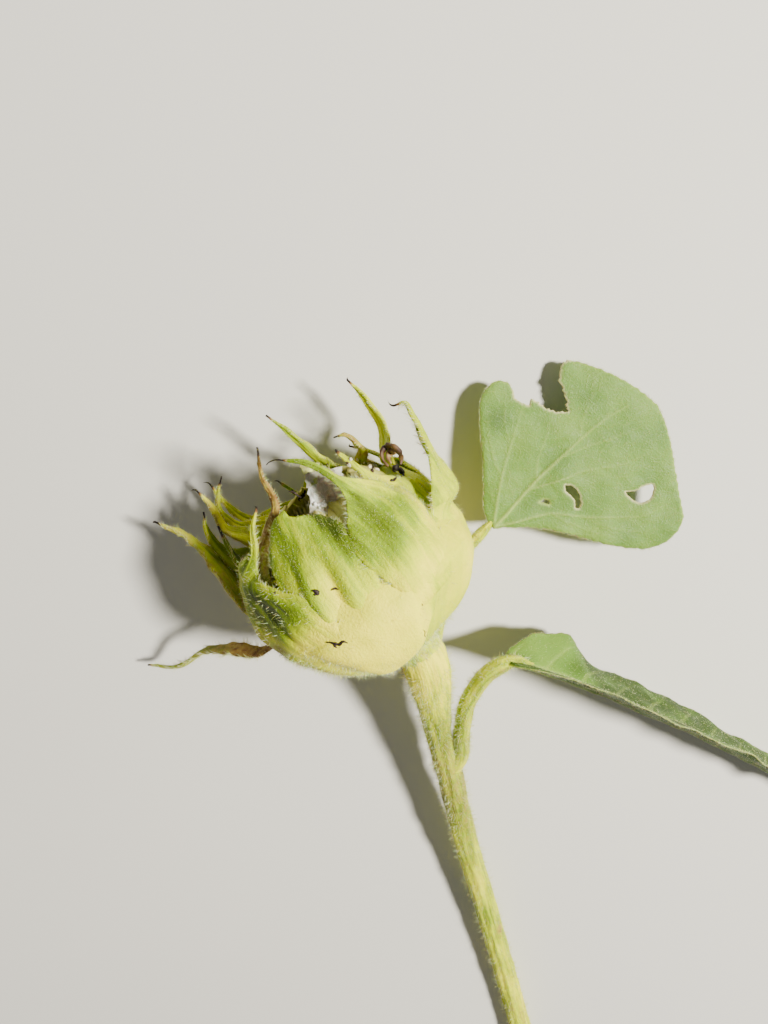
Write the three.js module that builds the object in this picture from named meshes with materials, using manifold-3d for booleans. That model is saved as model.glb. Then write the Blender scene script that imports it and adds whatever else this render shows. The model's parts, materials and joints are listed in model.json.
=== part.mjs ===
// The cut top of a sunflower plant, lying on its side: one closed flower head in its ring of green bracts,
// on a bare upper stem, with a broad leaf behind the head and a narrow folded leaf lower down.
// Millimetres, +Z up. The stem runs along Y, its cut end at -Y. The head lies near the +Y end.
import * as THREE from "three";
import { mergeVertices } from "three/addons/utils/BufferGeometryUtils.js";
import Module from "manifold-3d";

const wasm = await Module();
wasm.setup();

// Driving dimensions of the flower head
const HEAD_RADIUS = 19.5; // widest radius over the outer bracts
const HEAD_CENTRE = [-0.9, -0.6, 20.6];
const BACK_LENGTH = 15.8; // from the widest place back to where the bowl meets the neck
const NECK_LENGTH = 19.8; // from the widest place back to the end of the neck
const FRONT_LENGTH = 17.5; // from the widest place forward to the mouth
const MOUTH_RADIUS = 8;
const NECK_RADIUS = 3.9;
const SHOULDER = -2; // where the outer bracts spring from the receptacle, along the axis
const CORE_INSET = 3.9; // the receptacle lies this far under the outer bracts, in front of its shoulder
const CORE_FRONT = 11; // where the hollow of the mouth ends
const MOUTH_DISH = 2; // depth of the dish in the mouth's floor
const HEAD_TURN = 124; // the way the mouth faces, from +X round to +Y, in degrees

// Driving dimensions of the thin parts
const BRACT_THICKNESS = 0.9;
const BRACT_TIP_THICKNESS = 0.6;
const BRACT_TIP_HALF = 0.35; // half width of a bract's tip
const BRACT_BASE = SHOULDER + 0.9; // where the bracts begin, just in front of the receptacle's shoulder
const DROOP_BASE = 3.5; // the drooping bract begins this far behind the place where it leaves the head
const LEAF_THICKNESS = 0.6;
const GAP = 0.3; // clearance kept between neighbouring pieces
const LIMB_SIDES = 12;
const STEM_STEPS = 22;
const STALK_STEPS = 10;
const HEAD_SIDES = 28;
const BRACT_ROWS = 10;
const HUG_ROWS = 3; // steps of a bract's line over the head
const HUG_FADE = [-0.08, 0.26]; // a bract comes free over this stretch, as shares of its length
const BEND_START = 0.45; // share of a bract's length at which it begins to close into a channel
const BEND_END = 0.85;
const FACING_KEPT = 0.62; // beyond this share a bract keeps the way that it faces

// Bracts. at: angle round the head. drift: how far that angle turns by the place where the bract leaves
// the head. leaves: how far along the head's axis that is. layer: 0 for the outer ring, 1 and 2 for the ones
// under it, -1 for the one that lies on the receptacle. half: half width. twist: turn of its loose end about
// its own line. facing: the way the back of a bract that bends away from the head faces.
// free: the points that its loose end passes through, the last one its tip.
const BRACTS = [
  { name: "bract_front_right", at: 43, drift: 2, leaves: 13, layer: 0, half: 7.7, outline: "pointed",
    free: [[-3.2, 20.2, 33.5], [-7.6, 22.7, 33.3], [-11.9, 23.1, 32.5]] },
  { name: "bract_lower_left", at: -38, drift: -19, leaves: 12, layer: 0, half: 12.4, outline: "broad",
    free: [[-17, 7.2, 30.1], [-17.1, 10.8, 29.2], [-16.6, 13.6, 27.7]] },
  { name: "bract_right", at: 86, drift: 0, leaves: 2, layer: 0, half: 7.2, outline: "ovate", twist: 52,
    free: [[14.7, 14.8, 21.5], [10.8, 20.9, 22.5], [7.6, 27.2, 23], [6.5, 29.2, 23], [4.9, 28.8, 23]] },
  { name: "bract_under_right", at: 126, drift: 0, leaves: 13, layer: 0, half: 6, outline: "ovate",
    free: [[-2.5, 18, 9.5]] },
  { name: "bract_under_middle", at: 162, drift: 0, leaves: 13, layer: 0, half: 6, outline: "ovate",
    free: [[-8.5, 13.5, 5]] },
  { name: "bract_under_left", at: -162, drift: 0, leaves: 12, layer: 0, half: 6, outline: "ovate",
    free: [[-16, 10, 5.5]] },
  { name: "bract_left_low", at: -125, drift: 0, leaves: 3, layer: 0, half: 6, outline: "lance",
    free: [[-22, -3, 13], [-25.8, 0.4, 14.3], [-27.9, 4.3, 14.5], [-28, 7.1, 14.5]] },
  { name: "bract_left_outer", at: -92, drift: 0, leaves: 0.5, layer: 0, half: 5.1, outline: "lance",
    free: [[-20.9, -7.5, 18.8], [-25.3, -2.5, 16.5], [-30.5, 2, 14], [-37.6, 4.3, 11]] },
  { name: "bract_front_left", at: -2, drift: 0, leaves: 15, layer: 1, half: 7.5, outline: "blunt",
    free: [[-11.2, 14.2, 32]] },
  { name: "bract_upper_fold", at: 64, drift: 0, leaves: 13, layer: 1, half: 6.9, outline: "ovate",
    free: [[-1, 19.6, 25.5], [-4.4, 21.8, 23.5]] },
  { name: "bract_upper_tall", at: 106, drift: 0, leaves: 12, layer: 1, half: 5.8, outline: "lance",
    facing: [0.66, 0.36, -0.66],
    free: [[2.9, 22.6, 12.3], [-0.8, 28.2, 12], [-2.8, 30.2, 12]] },
  { name: "bract_upper_small", at: 140, drift: 0, leaves: 13, layer: 1, half: 4.5, outline: "lance",
    free: [[-0.5, 18.3, 12], [-3.4, 21.8, 15.5], [-4.9, 21.3, 15]] },
  { name: "bract_upper_left", at: 178, drift: 0, leaves: 14, layer: 1, half: 5.1, outline: "lance",
    free: [[-6.9, 15.2, 11.5], [-8.9, 18.6, 15], [-12.4, 22.3, 15.8], [-15.8, 25.3, 16.5]] },
  { name: "bract_left_far", at: -152, drift: 0, leaves: 12, layer: 1, half: 4, outline: "lance",
    free: [[-20.5, 3.5, 8.5], [-24.9, 6.2, 8.3], [-28, 10.4, 8]] },
  { name: "bract_left_middle", at: -122, drift: 0, leaves: 11, layer: 1, half: 4.7, outline: "lance",
    free: [[-20.9, 3.1, 14], [-24.5, 3.8, 13.5], [-27, 7.8, 12.5], [-29.6, 10.4, 11.5]] },
  { name: "bract_left_dark", at: -90, drift: 0, leaves: 10, layer: 1, half: 4.7, outline: "lance",
    free: [[-22.2, 1.4, 19.5], [-23.9, 4.1, 18.5], [-24.8, 6.3, 18]] },
  { name: "bract_left_high", at: -48, drift: 0, leaves: 13, layer: 2, half: 4.5, outline: "lance",
    free: [[-13.9, 13.5, 26], [-15.9, 17.6, 24.5], [-16.7, 21.4, 22.5]] },
  { name: "bract_left_inner", at: -137, drift: 0, leaves: 12, layer: 2, half: 3.6, outline: "lance",
    free: [[-22.5, 3.4, 10.8], [-26, 6.5, 10.8], [-26.1, 10.1, 10.5], [-25.5, 12.1, 10.5]] },
  { name: "bract_droop", at: -88, drift: 0, leaves: -3.5, layer: -1, half: 2.3, outline: "lance",
    facing: [0.559, -0.829, 0],
    free: [[-19, -16.8, 20.5], [-23.8, -18, 17.5], [-30.5, -20.6, 13], [-36.5, -25.2, 9],
      [-44.2, -29.4, 5]] },
];

// Main stem, from its flat cut to the neck behind the head
const STEM_LINE = [[38.7, -141, 3.6], [32.7, -117, 4.4], [26.2, -92, 6], [21, -71.5, 8.5], [17, -53, 11.5],
  [14, -39.5, 14.2], [12.6, -29.8, 16.8], [11.5, -23.5, 19], [10.6, -18.5, 20.6]];
const STEM_RADIUS = 2.55;
const NECK_SWELL = 1.3;
const NECK_START = 0.82; // share of the stem's length at which it begins to swell

// Stalk of the broad leaf, from under the neck to the foot of the blade
const BROAD_STALK = [[12.5, -25.5, 14], [13.4, -19, 10.8], [15, -12.5, 9], [17.1, -5.7, 8.2],
  [18.8, -1.9, 8.6], [22.1, 2.8, 9.5]];
const BROAD_STALK_RADIUS = 1.15;

// Broad leaf: a heart-shaped blade lying level and underside up, chewed at its upper edge and holed twice.
// Its outline is drawn from the foot of the blade, x to the right and y along the stem's direction.
const BROAD_FOOT = [22.4, 3.3, 9.5];
const BROAD_TILT_X = -10; // lowers the far edge, in degrees
const BROAD_TILT_Y = 2; // lowers the right edge
const BROAD_HOLES = [
  { at: [27.6, 5.4], across: 2.5, high: 1.5, turn: 10 },
  { at: [15.3, 5], across: 0.9, high: 2.5, turn: 33 },
];

// Folded leaf: a narrow blade creased along its rib, standing on the edge of its far half
const FOLDED_LINE = [[28.6, -22.1, 16.5], [35.3, -24.8, 15.6], [44.4, -29.1, 14.8], [55.1, -35, 13.8],
  [66.1, -41, 12.8], [82.5, -51.4, 10.4], [92.3, -57.7, 8.2], [103, -65.1, 5.5]];
const FOLDED_HALF = 11.7;
const FOLDED_END = 0.8; // half width of the blade's two ends
const NEAR_LEAN = 8; // lean of the near half from upright, in degrees
const FAR_LEAN = 17; // lean of the far half
const FLAP_LEAN = 30; // the far half leans this much more where it flares near the leaf's foot
const FLAP_AT = 0.09; // the middle of that flare, as a share of the leaf's length
const HANG = [0, -0.375, -0.927]; // the way the far half hangs from the rib
const FOLDED_STALK = [[18.2, -45.3, 12.9], [18.4, -37.5, 15.2], [19.2, -29.4, 17], [22.8, -22.9, 17.4],
  [27.4, -21, 16.8]];
const FOLDED_STALK_RADIUS = 1.6;
const STALK_FOOT_SWELL = 0.5; // added where the folded leaf's stalk springs from the stem
const STALK_FOOT_LENGTH = 0.3; // share of that stalk's length over which the swelling fades

// Colours
const GREEN = 0xa9b94a;
const YELLOW = 0xe3dc86;
const STEM_GREEN = 0x9a9238;
const LEAF_GREEN = 0x8fa563;

const degrees = THREE.MathUtils.degToRad;
const smooth = THREE.MathUtils.smoothstep;
const mix = THREE.MathUtils.lerp;
const point = (list) => new THREE.Vector3(...list);

// The head's own directions: the axis points out of the mouth, "side" runs up and right in plan
const headCentre = new THREE.Vector3(...HEAD_CENTRE);
const axis = new THREE.Vector3(Math.cos(degrees(HEAD_TURN)), Math.sin(degrees(HEAD_TURN)), 0);
const up = new THREE.Vector3(0, 0, 1);
const side = new THREE.Vector3().crossVectors(axis, up);

// Radius of the head over its outer bracts, at a distance along its axis. Behind, a bowl runs into the neck.
function headRadius(along) {
  if (along < 0) {
    const bowl = HEAD_RADIUS * (1 - Math.min(1, -along / BACK_LENGTH) ** 2) ** 0.4;
    return Math.cbrt(bowl ** 3 + NECK_RADIUS ** 3);
  }
  const share = Math.min(1, along / FRONT_LENGTH);
  return mix(MOUTH_RADIUS, HEAD_RADIUS, Math.sqrt(1 - share ** 2.2));
}

// A point of the head from its distance along the axis, its radius and its angle round the axis
function headPoint(along, radius, angle) {
  const turn = degrees(angle);
  return headCentre
    .clone()
    .addScaledVector(axis, along)
    .addScaledVector(up, radius * Math.cos(turn))
    .addScaledVector(side, radius * Math.sin(turn));
}

// Angle of a direction round the axis, from its parts to the side and up
function turnOf(sideways, upwards) {
  return THREE.MathUtils.radToDeg(Math.atan2(sideways, upwards));
}

// Direction straight out from the head's axis at a point
function outward(at) {
  const from = at.clone().sub(headCentre);
  return from.addScaledVector(axis, -from.dot(axis)).normalize();
}

// A closed geometry as a solid whose shared corners are merged
function solid(geometry) {
  const bare = new THREE.BufferGeometry().setAttribute("position", geometry.getAttribute("position"));
  if (geometry.index) bare.setIndex(geometry.index);
  const merged = mergeVertices(bare, 1e-4);
  const corners = Array.from(merged.index.array);
  const kept = corners.filter((_, i) => {
    const [a, b, c] = corners.slice(i - (i % 3), i - (i % 3) + 3);
    return a !== b && b !== c && c !== a;
  });
  return new wasm.Manifold(
    new wasm.Mesh({
      numProp: 3,
      vertProperties: new Float32Array(merged.getAttribute("position").array),
      triVerts: new Uint32Array(kept),
    }),
  );
}

function geometryOf(body) {
  const mesh = body.getMesh();
  return new THREE.BufferGeometry()
    .setAttribute("position", new THREE.BufferAttribute(new Float32Array(mesh.vertProperties), 3))
    .setIndex(new THREE.BufferAttribute(new Uint32Array(mesh.triVerts), 1));
}

// Moves every corner of a geometry by a function of its own place
function reshape(geometry, place) {
  const corners = geometry.getAttribute("position");
  const at = new THREE.Vector3();
  for (let i = 0; i < corners.count; i += 1) {
    at.fromBufferAttribute(corners, i);
    corners.setXYZ(i, ...place(at).toArray());
  }
  return geometry;
}

// A limb of round section along a smooth line, its radius a function of the share of its length
function limb(line, radius, steps, grow = 0) {
  const route = new THREE.CatmullRomCurve3(line.map(point));
  const frames = route.computeFrenetFrames(steps, false);
  const bar = new THREE.CylinderGeometry(1, 1, 1, LIMB_SIDES, steps);
  return solid(
    reshape(bar, (at) => {
      const share = at.y + 0.5;
      const row = Math.round(share * steps);
      const wide = radius(share) + grow;
      const end = row === 0 ? -grow : row === steps ? grow : 0;
      return route
        .getPointAt(share)
        .addScaledVector(frames.tangents[row], end)
        .addScaledVector(frames.normals[row], at.x * wide)
        .addScaledVector(frames.binormals[row], -at.z * wide);
    }),
  );
}

// The receptacle: bowl and neck behind, full up to its shoulder, then the narrower core that the bracts wrap
function receptacle(grow = 0) {
  const profile = [new THREE.Vector2(0, -NECK_LENGTH - grow)];
  const behind = 13;
  const before = 5;
  for (let i = 0; i <= behind; i += 1) {
    const along = mix(-NECK_LENGTH, SHOULDER, (i / behind) ** 0.8);
    profile.push(new THREE.Vector2(headRadius(along) + grow, along + (i === 0 ? -grow : 0)));
  }
  for (let i = 0; i <= before; i += 1) {
    const along = mix(SHOULDER + 0.3, CORE_FRONT, i / before);
    const end = i === 0 || i === before ? grow : 0;
    profile.push(new THREE.Vector2(headRadius(along) - CORE_INSET + grow, along + end));
  }
  profile.push(new THREE.Vector2(0, CORE_FRONT - MOUTH_DISH + grow));
  const turned = new THREE.LatheGeometry(profile, HEAD_SIDES);
  return solid(reshape(turned, (at) => headPoint(at.y, Math.hypot(at.x, at.z), turnOf(at.x, at.z))));
}

// Outline of a bract as a share of its half width: ovate and pointed ones run out into a long tip, lances are
// narrow all the way, broad ones begin wide, blunt ones stay wide
const OUTLINES = {
  pointed: (t) => (0.68 + 0.32 * Math.sin(Math.PI * Math.min(1, t / 0.66)))
    * mix(1, 0.14, smooth(t, 0.3, 0.75)),
  ovate: (t) => (0.68 + 0.32 * Math.sin(Math.PI * Math.min(1, t / 0.66))) * mix(1, 0.14, smooth(t, 0.4, 0.8)),
  lance: (t) => (0.8 + 0.2 * Math.sin(Math.PI * t)) * mix(1, 0.25, smooth(t, 0.2, 0.75)),
  broad: (t) => (0.84 + 0.16 * Math.sin(Math.PI * Math.min(1, t / 0.5))) * mix(1, 0.1, smooth(t, 0.3, 0.75)),
  blunt: (t) => (0.88 + 0.12 * Math.sin(Math.PI * Math.min(1, t / 0.8))) * mix(1, 0.72, smooth(t, 0.7, 1)),
};
// The larger the number, the nearer to the tip the outline closes
const CLOSING = { pointed: 6, ovate: 6, lance: 6, broad: 6, blunt: 14 };

// The line that a bract follows: over the head from its base, then free to its tip
function bractLine(bract) {
  const line = [];
  const base = bract.layer < 0 ? bract.leaves - DROOP_BASE : BRACT_BASE;
  const under = bract.layer * (BRACT_THICKNESS + GAP);
  for (let i = 0; i <= HUG_ROWS; i += 1) {
    const share = i / HUG_ROWS;
    const along = mix(base, bract.leaves, share);
    const radius = headRadius(along) - BRACT_THICKNESS / 2 - under;
    line.push(headPoint(along, radius, bract.at + bract.drift * share));
  }
  return new THREE.CatmullRomCurve3([...line, ...bract.free.map(point)], false, "centripetal");
}

// The share of its length at which a bract's line leaves the head
function leavingShare(bract, line) {
  const steps = 200;
  const lengths = line.getLengths(steps);
  const leaves = HUG_ROWS / (HUG_ROWS + bract.free.length);
  return lengths[Math.round(leaves * steps)] / lengths[steps];
}

// A bract: a thin blade that hugs the head from its base, then comes free and grows narrow and channelled
function bractSolid(bract, grow = 0) {
  const line = bractLine(bract);
  const columns = bract.half > 5 ? 4 : 2;
  const blade = new THREE.BoxGeometry(2, 1, 1, columns, BRACT_ROWS, 1);
  const leaving = leavingShare(bract, line);
  return solid(
    reshape(blade, (at) => {
      const share = at.y + 0.5;
      const spine = line.getPointAt(share);
      const tangent = line.getTangentAt(share);
      const closed = 1 - share ** CLOSING[bract.outline];
      const half = Math.max(BRACT_TIP_HALF, bract.half * OUTLINES[bract.outline](share) * closed);
      const reach = at.x * (half + grow);
      const rise = at.z * (mix(BRACT_THICKNESS, BRACT_TIP_THICKNESS, share) + 2 * grow);
      const end = share === 0 ? -grow : share === 1 ? grow : 0;
      const hugging = huggingPoint(spine, reach, rise, end);
      const turned = bract.facing
        ? point(bract.facing)
        : outward(line.getPointAt(Math.min(share, FACING_KEPT)));
      turned.addScaledVector(tangent, -turned.dot(tangent)).normalize();
      turned.applyAxisAngle(tangent, degrees(bract.twist ?? 0) * smooth(share, 0.35, 0.8));
      const across = new THREE.Vector3().crossVectors(tangent, turned);
      const bend = mix(HEAD_RADIUS, Math.max(1.2, half * 0.9), smooth(share, BEND_START, BEND_END));
      const loose = spine
        .addScaledVector(tangent, end)
        .addScaledVector(across, (bend + rise) * Math.sin(reach / bend))
        .addScaledVector(turned, (bend + rise) * Math.cos(reach / bend) - bend);
      return hugging.lerp(loose, smooth(share, leaving + HUG_FADE[0], leaving + HUG_FADE[1]));
    }),
  );
}

// A point of a blade that lies round the head, beside its spine by "reach" and above it by "rise"
function huggingPoint(spine, reach, rise, end) {
  const from = spine.clone().sub(headCentre);
  const along = from.dot(axis);
  const radial = from.addScaledVector(axis, -along);
  const radius = radial.length();
  const turn = turnOf(radial.dot(side), radial.dot(up)) + THREE.MathUtils.radToDeg(reach / radius);
  return headPoint(along + end, radius + rise, turn);
}

// The broad leaf's outline, round its left lobe, the chewed upper edge, its tip and back to the foot
function broadOutline() {
  const shape = new THREE.Shape();
  shape.moveTo(0.6, -0.7);
  shape.bezierCurveTo(-1.2, 1, -1.4, 3.5, -1.3, 6);
  shape.bezierCurveTo(-1.2, 11, -2.2, 16, -2.3, 20.6);
  shape.bezierCurveTo(-2.4, 23.4, -0.8, 25.4, 0.9, 25.6);
  shape.bezierCurveTo(3.2, 25.8, 3.3, 24, 3.9, 22.8);
  shape.bezierCurveTo(4.2, 22.2, 5.4, 21.6, 6.4, 21.4);
  shape.lineTo(6.9, 22.6);
  shape.lineTo(10.2, 20.5);
  shape.lineTo(13.2, 20.1);
  shape.bezierCurveTo(13.6, 21.4, 12.4, 23.6, 11.5, 25.9);
  shape.bezierCurveTo(11.6, 27.6, 12, 29, 13.4, 29.1);
  shape.bezierCurveTo(18, 28.4, 26, 24.6, 29.4, 21);
  shape.bezierCurveTo(32.6, 16, 33.6, 6.6, 35.2, 1);
  shape.bezierCurveTo(35.2, -2.2, 31.5, -5.4, 27.8, -5.1);
  shape.bezierCurveTo(20, -4.4, 14, -1.2, 9.2, -0.9);
  shape.bezierCurveTo(6, -0.5, 3, -0.4, 1.2, -0.8);
  return shape;
}

function broadLeaf() {
  const lay = (geometry) =>
    solid(geometry.rotateX(degrees(BROAD_TILT_X)).rotateY(degrees(BROAD_TILT_Y)).translate(...BROAD_FOOT));
  const thick = { depth: LEAF_THICKNESS, bevelEnabled: false, curveSegments: 5 };
  const blade = lay(new THREE.ExtrudeGeometry(broadOutline(), thick));
  const punches = BROAD_HOLES.map((hole) => {
    const punch = new THREE.CylinderGeometry(1, 1, 4 * LEAF_THICKNESS, 10);
    punch.rotateX(Math.PI / 2).scale(hole.across, hole.high, 1).rotateZ(degrees(hole.turn));
    return lay(punch.translate(...hole.at, 0));
  });
  return blade.subtract(wasm.Manifold.union(punches));
}

// The folded leaf: two half blades on its rib, each leaning its own way from it
function foldedLeaf() {
  const rows = 14;
  const line = new THREE.CatmullRomCurve3(FOLDED_LINE.map(point));
  const blade = new THREE.BoxGeometry(2, 1, 1, 4, rows, 1);
  const away = point(HANG);
  return solid(
    reshape(blade, (at) => {
      const share = at.y + 0.5;
      const spine = line.getPointAt(share);
      const tangent = line.getTangentAt(share);
      const across = away.clone().addScaledVector(tangent, -away.dot(tangent)).normalize();
      const face = new THREE.Vector3().crossVectors(tangent, across);
      const oval = Math.sin(Math.PI * share ** 0.78) ** 0.65 * (1 - 0.12 * share);
      const half = FOLDED_HALF * oval + FOLDED_END;
      const flap = FLAP_LEAN * (1 - smooth(Math.abs(share - FLAP_AT), 0.03, 0.15));
      const reach = -at.x * half;
      const lean = degrees(reach > 0 ? FAR_LEAN + flap : NEAR_LEAN);
      return spine
        .addScaledVector(across, reach * Math.cos(lean))
        .addScaledVector(face, Math.abs(reach) * Math.sin(lean) + at.z * LEAF_THICKNESS);
    }),
  );
}

const plant = new THREE.Group();

// Adds the largest body of a solid to the plant as a named mesh
function add(name, body, colour) {
  const pieces = body.decompose().sort((a, b) => b.volume() - a.volume());
  const material = new THREE.MeshStandardMaterial({ color: colour, roughness: 0.7, metalness: 0 });
  const mesh = new THREE.Mesh(geometryOf(pieces[0]), material);
  mesh.name = name;
  plant.add(mesh);
}

const stemRadius = (share) => STEM_RADIUS + NECK_SWELL * smooth(share, NECK_START, 1);
const broadStalkRadius = () => BROAD_STALK_RADIUS;
const foldedStalkRadius = (share) =>
  FOLDED_STALK_RADIUS + STALK_FOOT_SWELL * (1 - smooth(share, 0, STALK_FOOT_LENGTH));

// Stem and receptacle come first. Each later piece is cut clear of the ones before it.
const head = receptacle();
const aroundHead = receptacle(GAP);
const stem = limb(STEM_LINE, stemRadius, STEM_STEPS).subtract(aroundHead);
const aroundStem = limb(STEM_LINE, stemRadius, STEM_STEPS, GAP);
let taken = wasm.Manifold.union([aroundHead, aroundStem]);
add("stem", stem, STEM_GREEN);
add("receptacle", head, YELLOW);

BRACTS.slice()
  .sort((a, b) => a.layer - b.layer)
  .forEach((bract) => {
    const blade = bractSolid(bract);
    add(bract.name, blade.subtract(taken), GREEN);
    taken = wasm.Manifold.union([taken, blade, bractSolid(bract, GAP)]);
  });

add("broad_leaf_stalk", limb(BROAD_STALK, broadStalkRadius, STALK_STEPS).subtract(taken), STEM_GREEN);
taken = taken.add(limb(BROAD_STALK, broadStalkRadius, STALK_STEPS, GAP));
add("folded_leaf_stalk", limb(FOLDED_STALK, foldedStalkRadius, STALK_STEPS).subtract(taken), STEM_GREEN);
taken = taken.add(limb(FOLDED_STALK, foldedStalkRadius, STALK_STEPS, GAP));
add("broad_leaf", broadLeaf().subtract(taken), LEAF_GREEN);
add("folded_leaf", foldedLeaf().subtract(taken), LEAF_GREEN);

// The origin goes under the middle of the whole, on the ground
const whole = new THREE.Box3().setFromObject(plant);
const middle = whole.getCenter(new THREE.Vector3());
plant.children.forEach((mesh) => mesh.geometry.translate(-middle.x, -middle.y, -whole.min.z));

export default plant;
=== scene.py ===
"""Looks of the cut top of a sunflower plant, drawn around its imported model.

A closed flower head in its ring of bracts lies on a bare stem, with a broad leaf behind it and a folded leaf
lower down. Shapes are worked out in millimetres from the head's own place, then moved into the frame.
"""

import json

import bpy
import numpy as np
from bpy.props import FloatProperty, FloatVectorProperty, PointerProperty
from mathutils import Matrix
from mathutils.geometry import delaunay_2d_cdt


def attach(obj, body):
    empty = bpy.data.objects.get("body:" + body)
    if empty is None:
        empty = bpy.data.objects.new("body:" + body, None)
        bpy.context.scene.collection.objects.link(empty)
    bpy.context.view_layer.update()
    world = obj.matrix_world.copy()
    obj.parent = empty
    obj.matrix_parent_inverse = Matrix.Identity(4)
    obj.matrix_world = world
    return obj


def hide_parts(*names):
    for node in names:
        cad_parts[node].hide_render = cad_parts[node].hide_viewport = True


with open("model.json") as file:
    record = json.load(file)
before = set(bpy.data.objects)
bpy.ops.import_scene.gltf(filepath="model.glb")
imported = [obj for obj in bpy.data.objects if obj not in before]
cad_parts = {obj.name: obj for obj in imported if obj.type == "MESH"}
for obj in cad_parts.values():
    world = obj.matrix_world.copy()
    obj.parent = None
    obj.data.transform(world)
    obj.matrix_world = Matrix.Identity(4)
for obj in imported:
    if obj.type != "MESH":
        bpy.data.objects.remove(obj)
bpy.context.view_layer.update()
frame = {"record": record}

bl_info = {
    "name": "Cut Sunflower Head",
    "version": (1, 0, 0),
    "blender": (4, 5, 0),
    "location": "View3D > Sidebar > Sunflower",
    "description": "Draws a closed sunflower head with its upper stem and two leaves",
    "category": "Object",
}

MM = 0.001

# Main stem, from its flat cut to the inside of the neck
STEM_LINE = [[38.7, -141, 3.6], [32.7, -117, 4.4], [26.2, -92, 6], [21, -71.5, 8.5], [17, -53, 11.5],
             [14, -39.5, 14.2], [12.6, -29.8, 16.8], [11.5, -23.5, 19], [10.6, -18.5, 20.6],
             [9.3, -15.3, 20.6], [7.6, -13.2, 20.6]]
STEM_NECK = 8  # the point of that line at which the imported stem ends
SHIFT = np.array(frame["record"]["mounts"][0]["pos_m"]) / MM - STEM_LINE[0]
GROUND = 0.01 - SHIFT[2]  # just over the floor

# Where the plant is looked at from, and the camera there
EYE = np.array([3.23, 59.62, 143.09])
CAMERA_TILT = np.radians(22)
CAMERA_LENS = 28.125
CAMERA_SENSOR = 36

# Each random draw starts from its own seed
SEEDS = dict(receptacle=5, bracts=7, mouth=9, stem=15, broad_leaf=77, folded_leaf=87, caught=91)

# The head's own directions and profile
HEAD_TURN = np.radians(124)
HEAD_RADIUS = 19.5
HEAD_CENTRE = np.array([-0.9, -0.6, 20.6])
BACK_LENGTH = 15.8
FRONT_LENGTH = 17.5
NECK_END = -19.8
NECK_RADIUS = 3.9
MOUTH_RADIUS = 8
SHOULDER = -2
MOUTH_FLOOR = 10.4  # how far forward the floor of the mouth lies
MOUTH_DISH = 2.2  # how much deeper it is in its middle
CORE_INSET = 3.9  # how far the head's core lies inside its bracts
AXIS = np.array([np.cos(HEAD_TURN), np.sin(HEAD_TURN), 0])
UP = np.array([0, 0, 1.0])
SIDE = np.cross(AXIS, UP)

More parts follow.
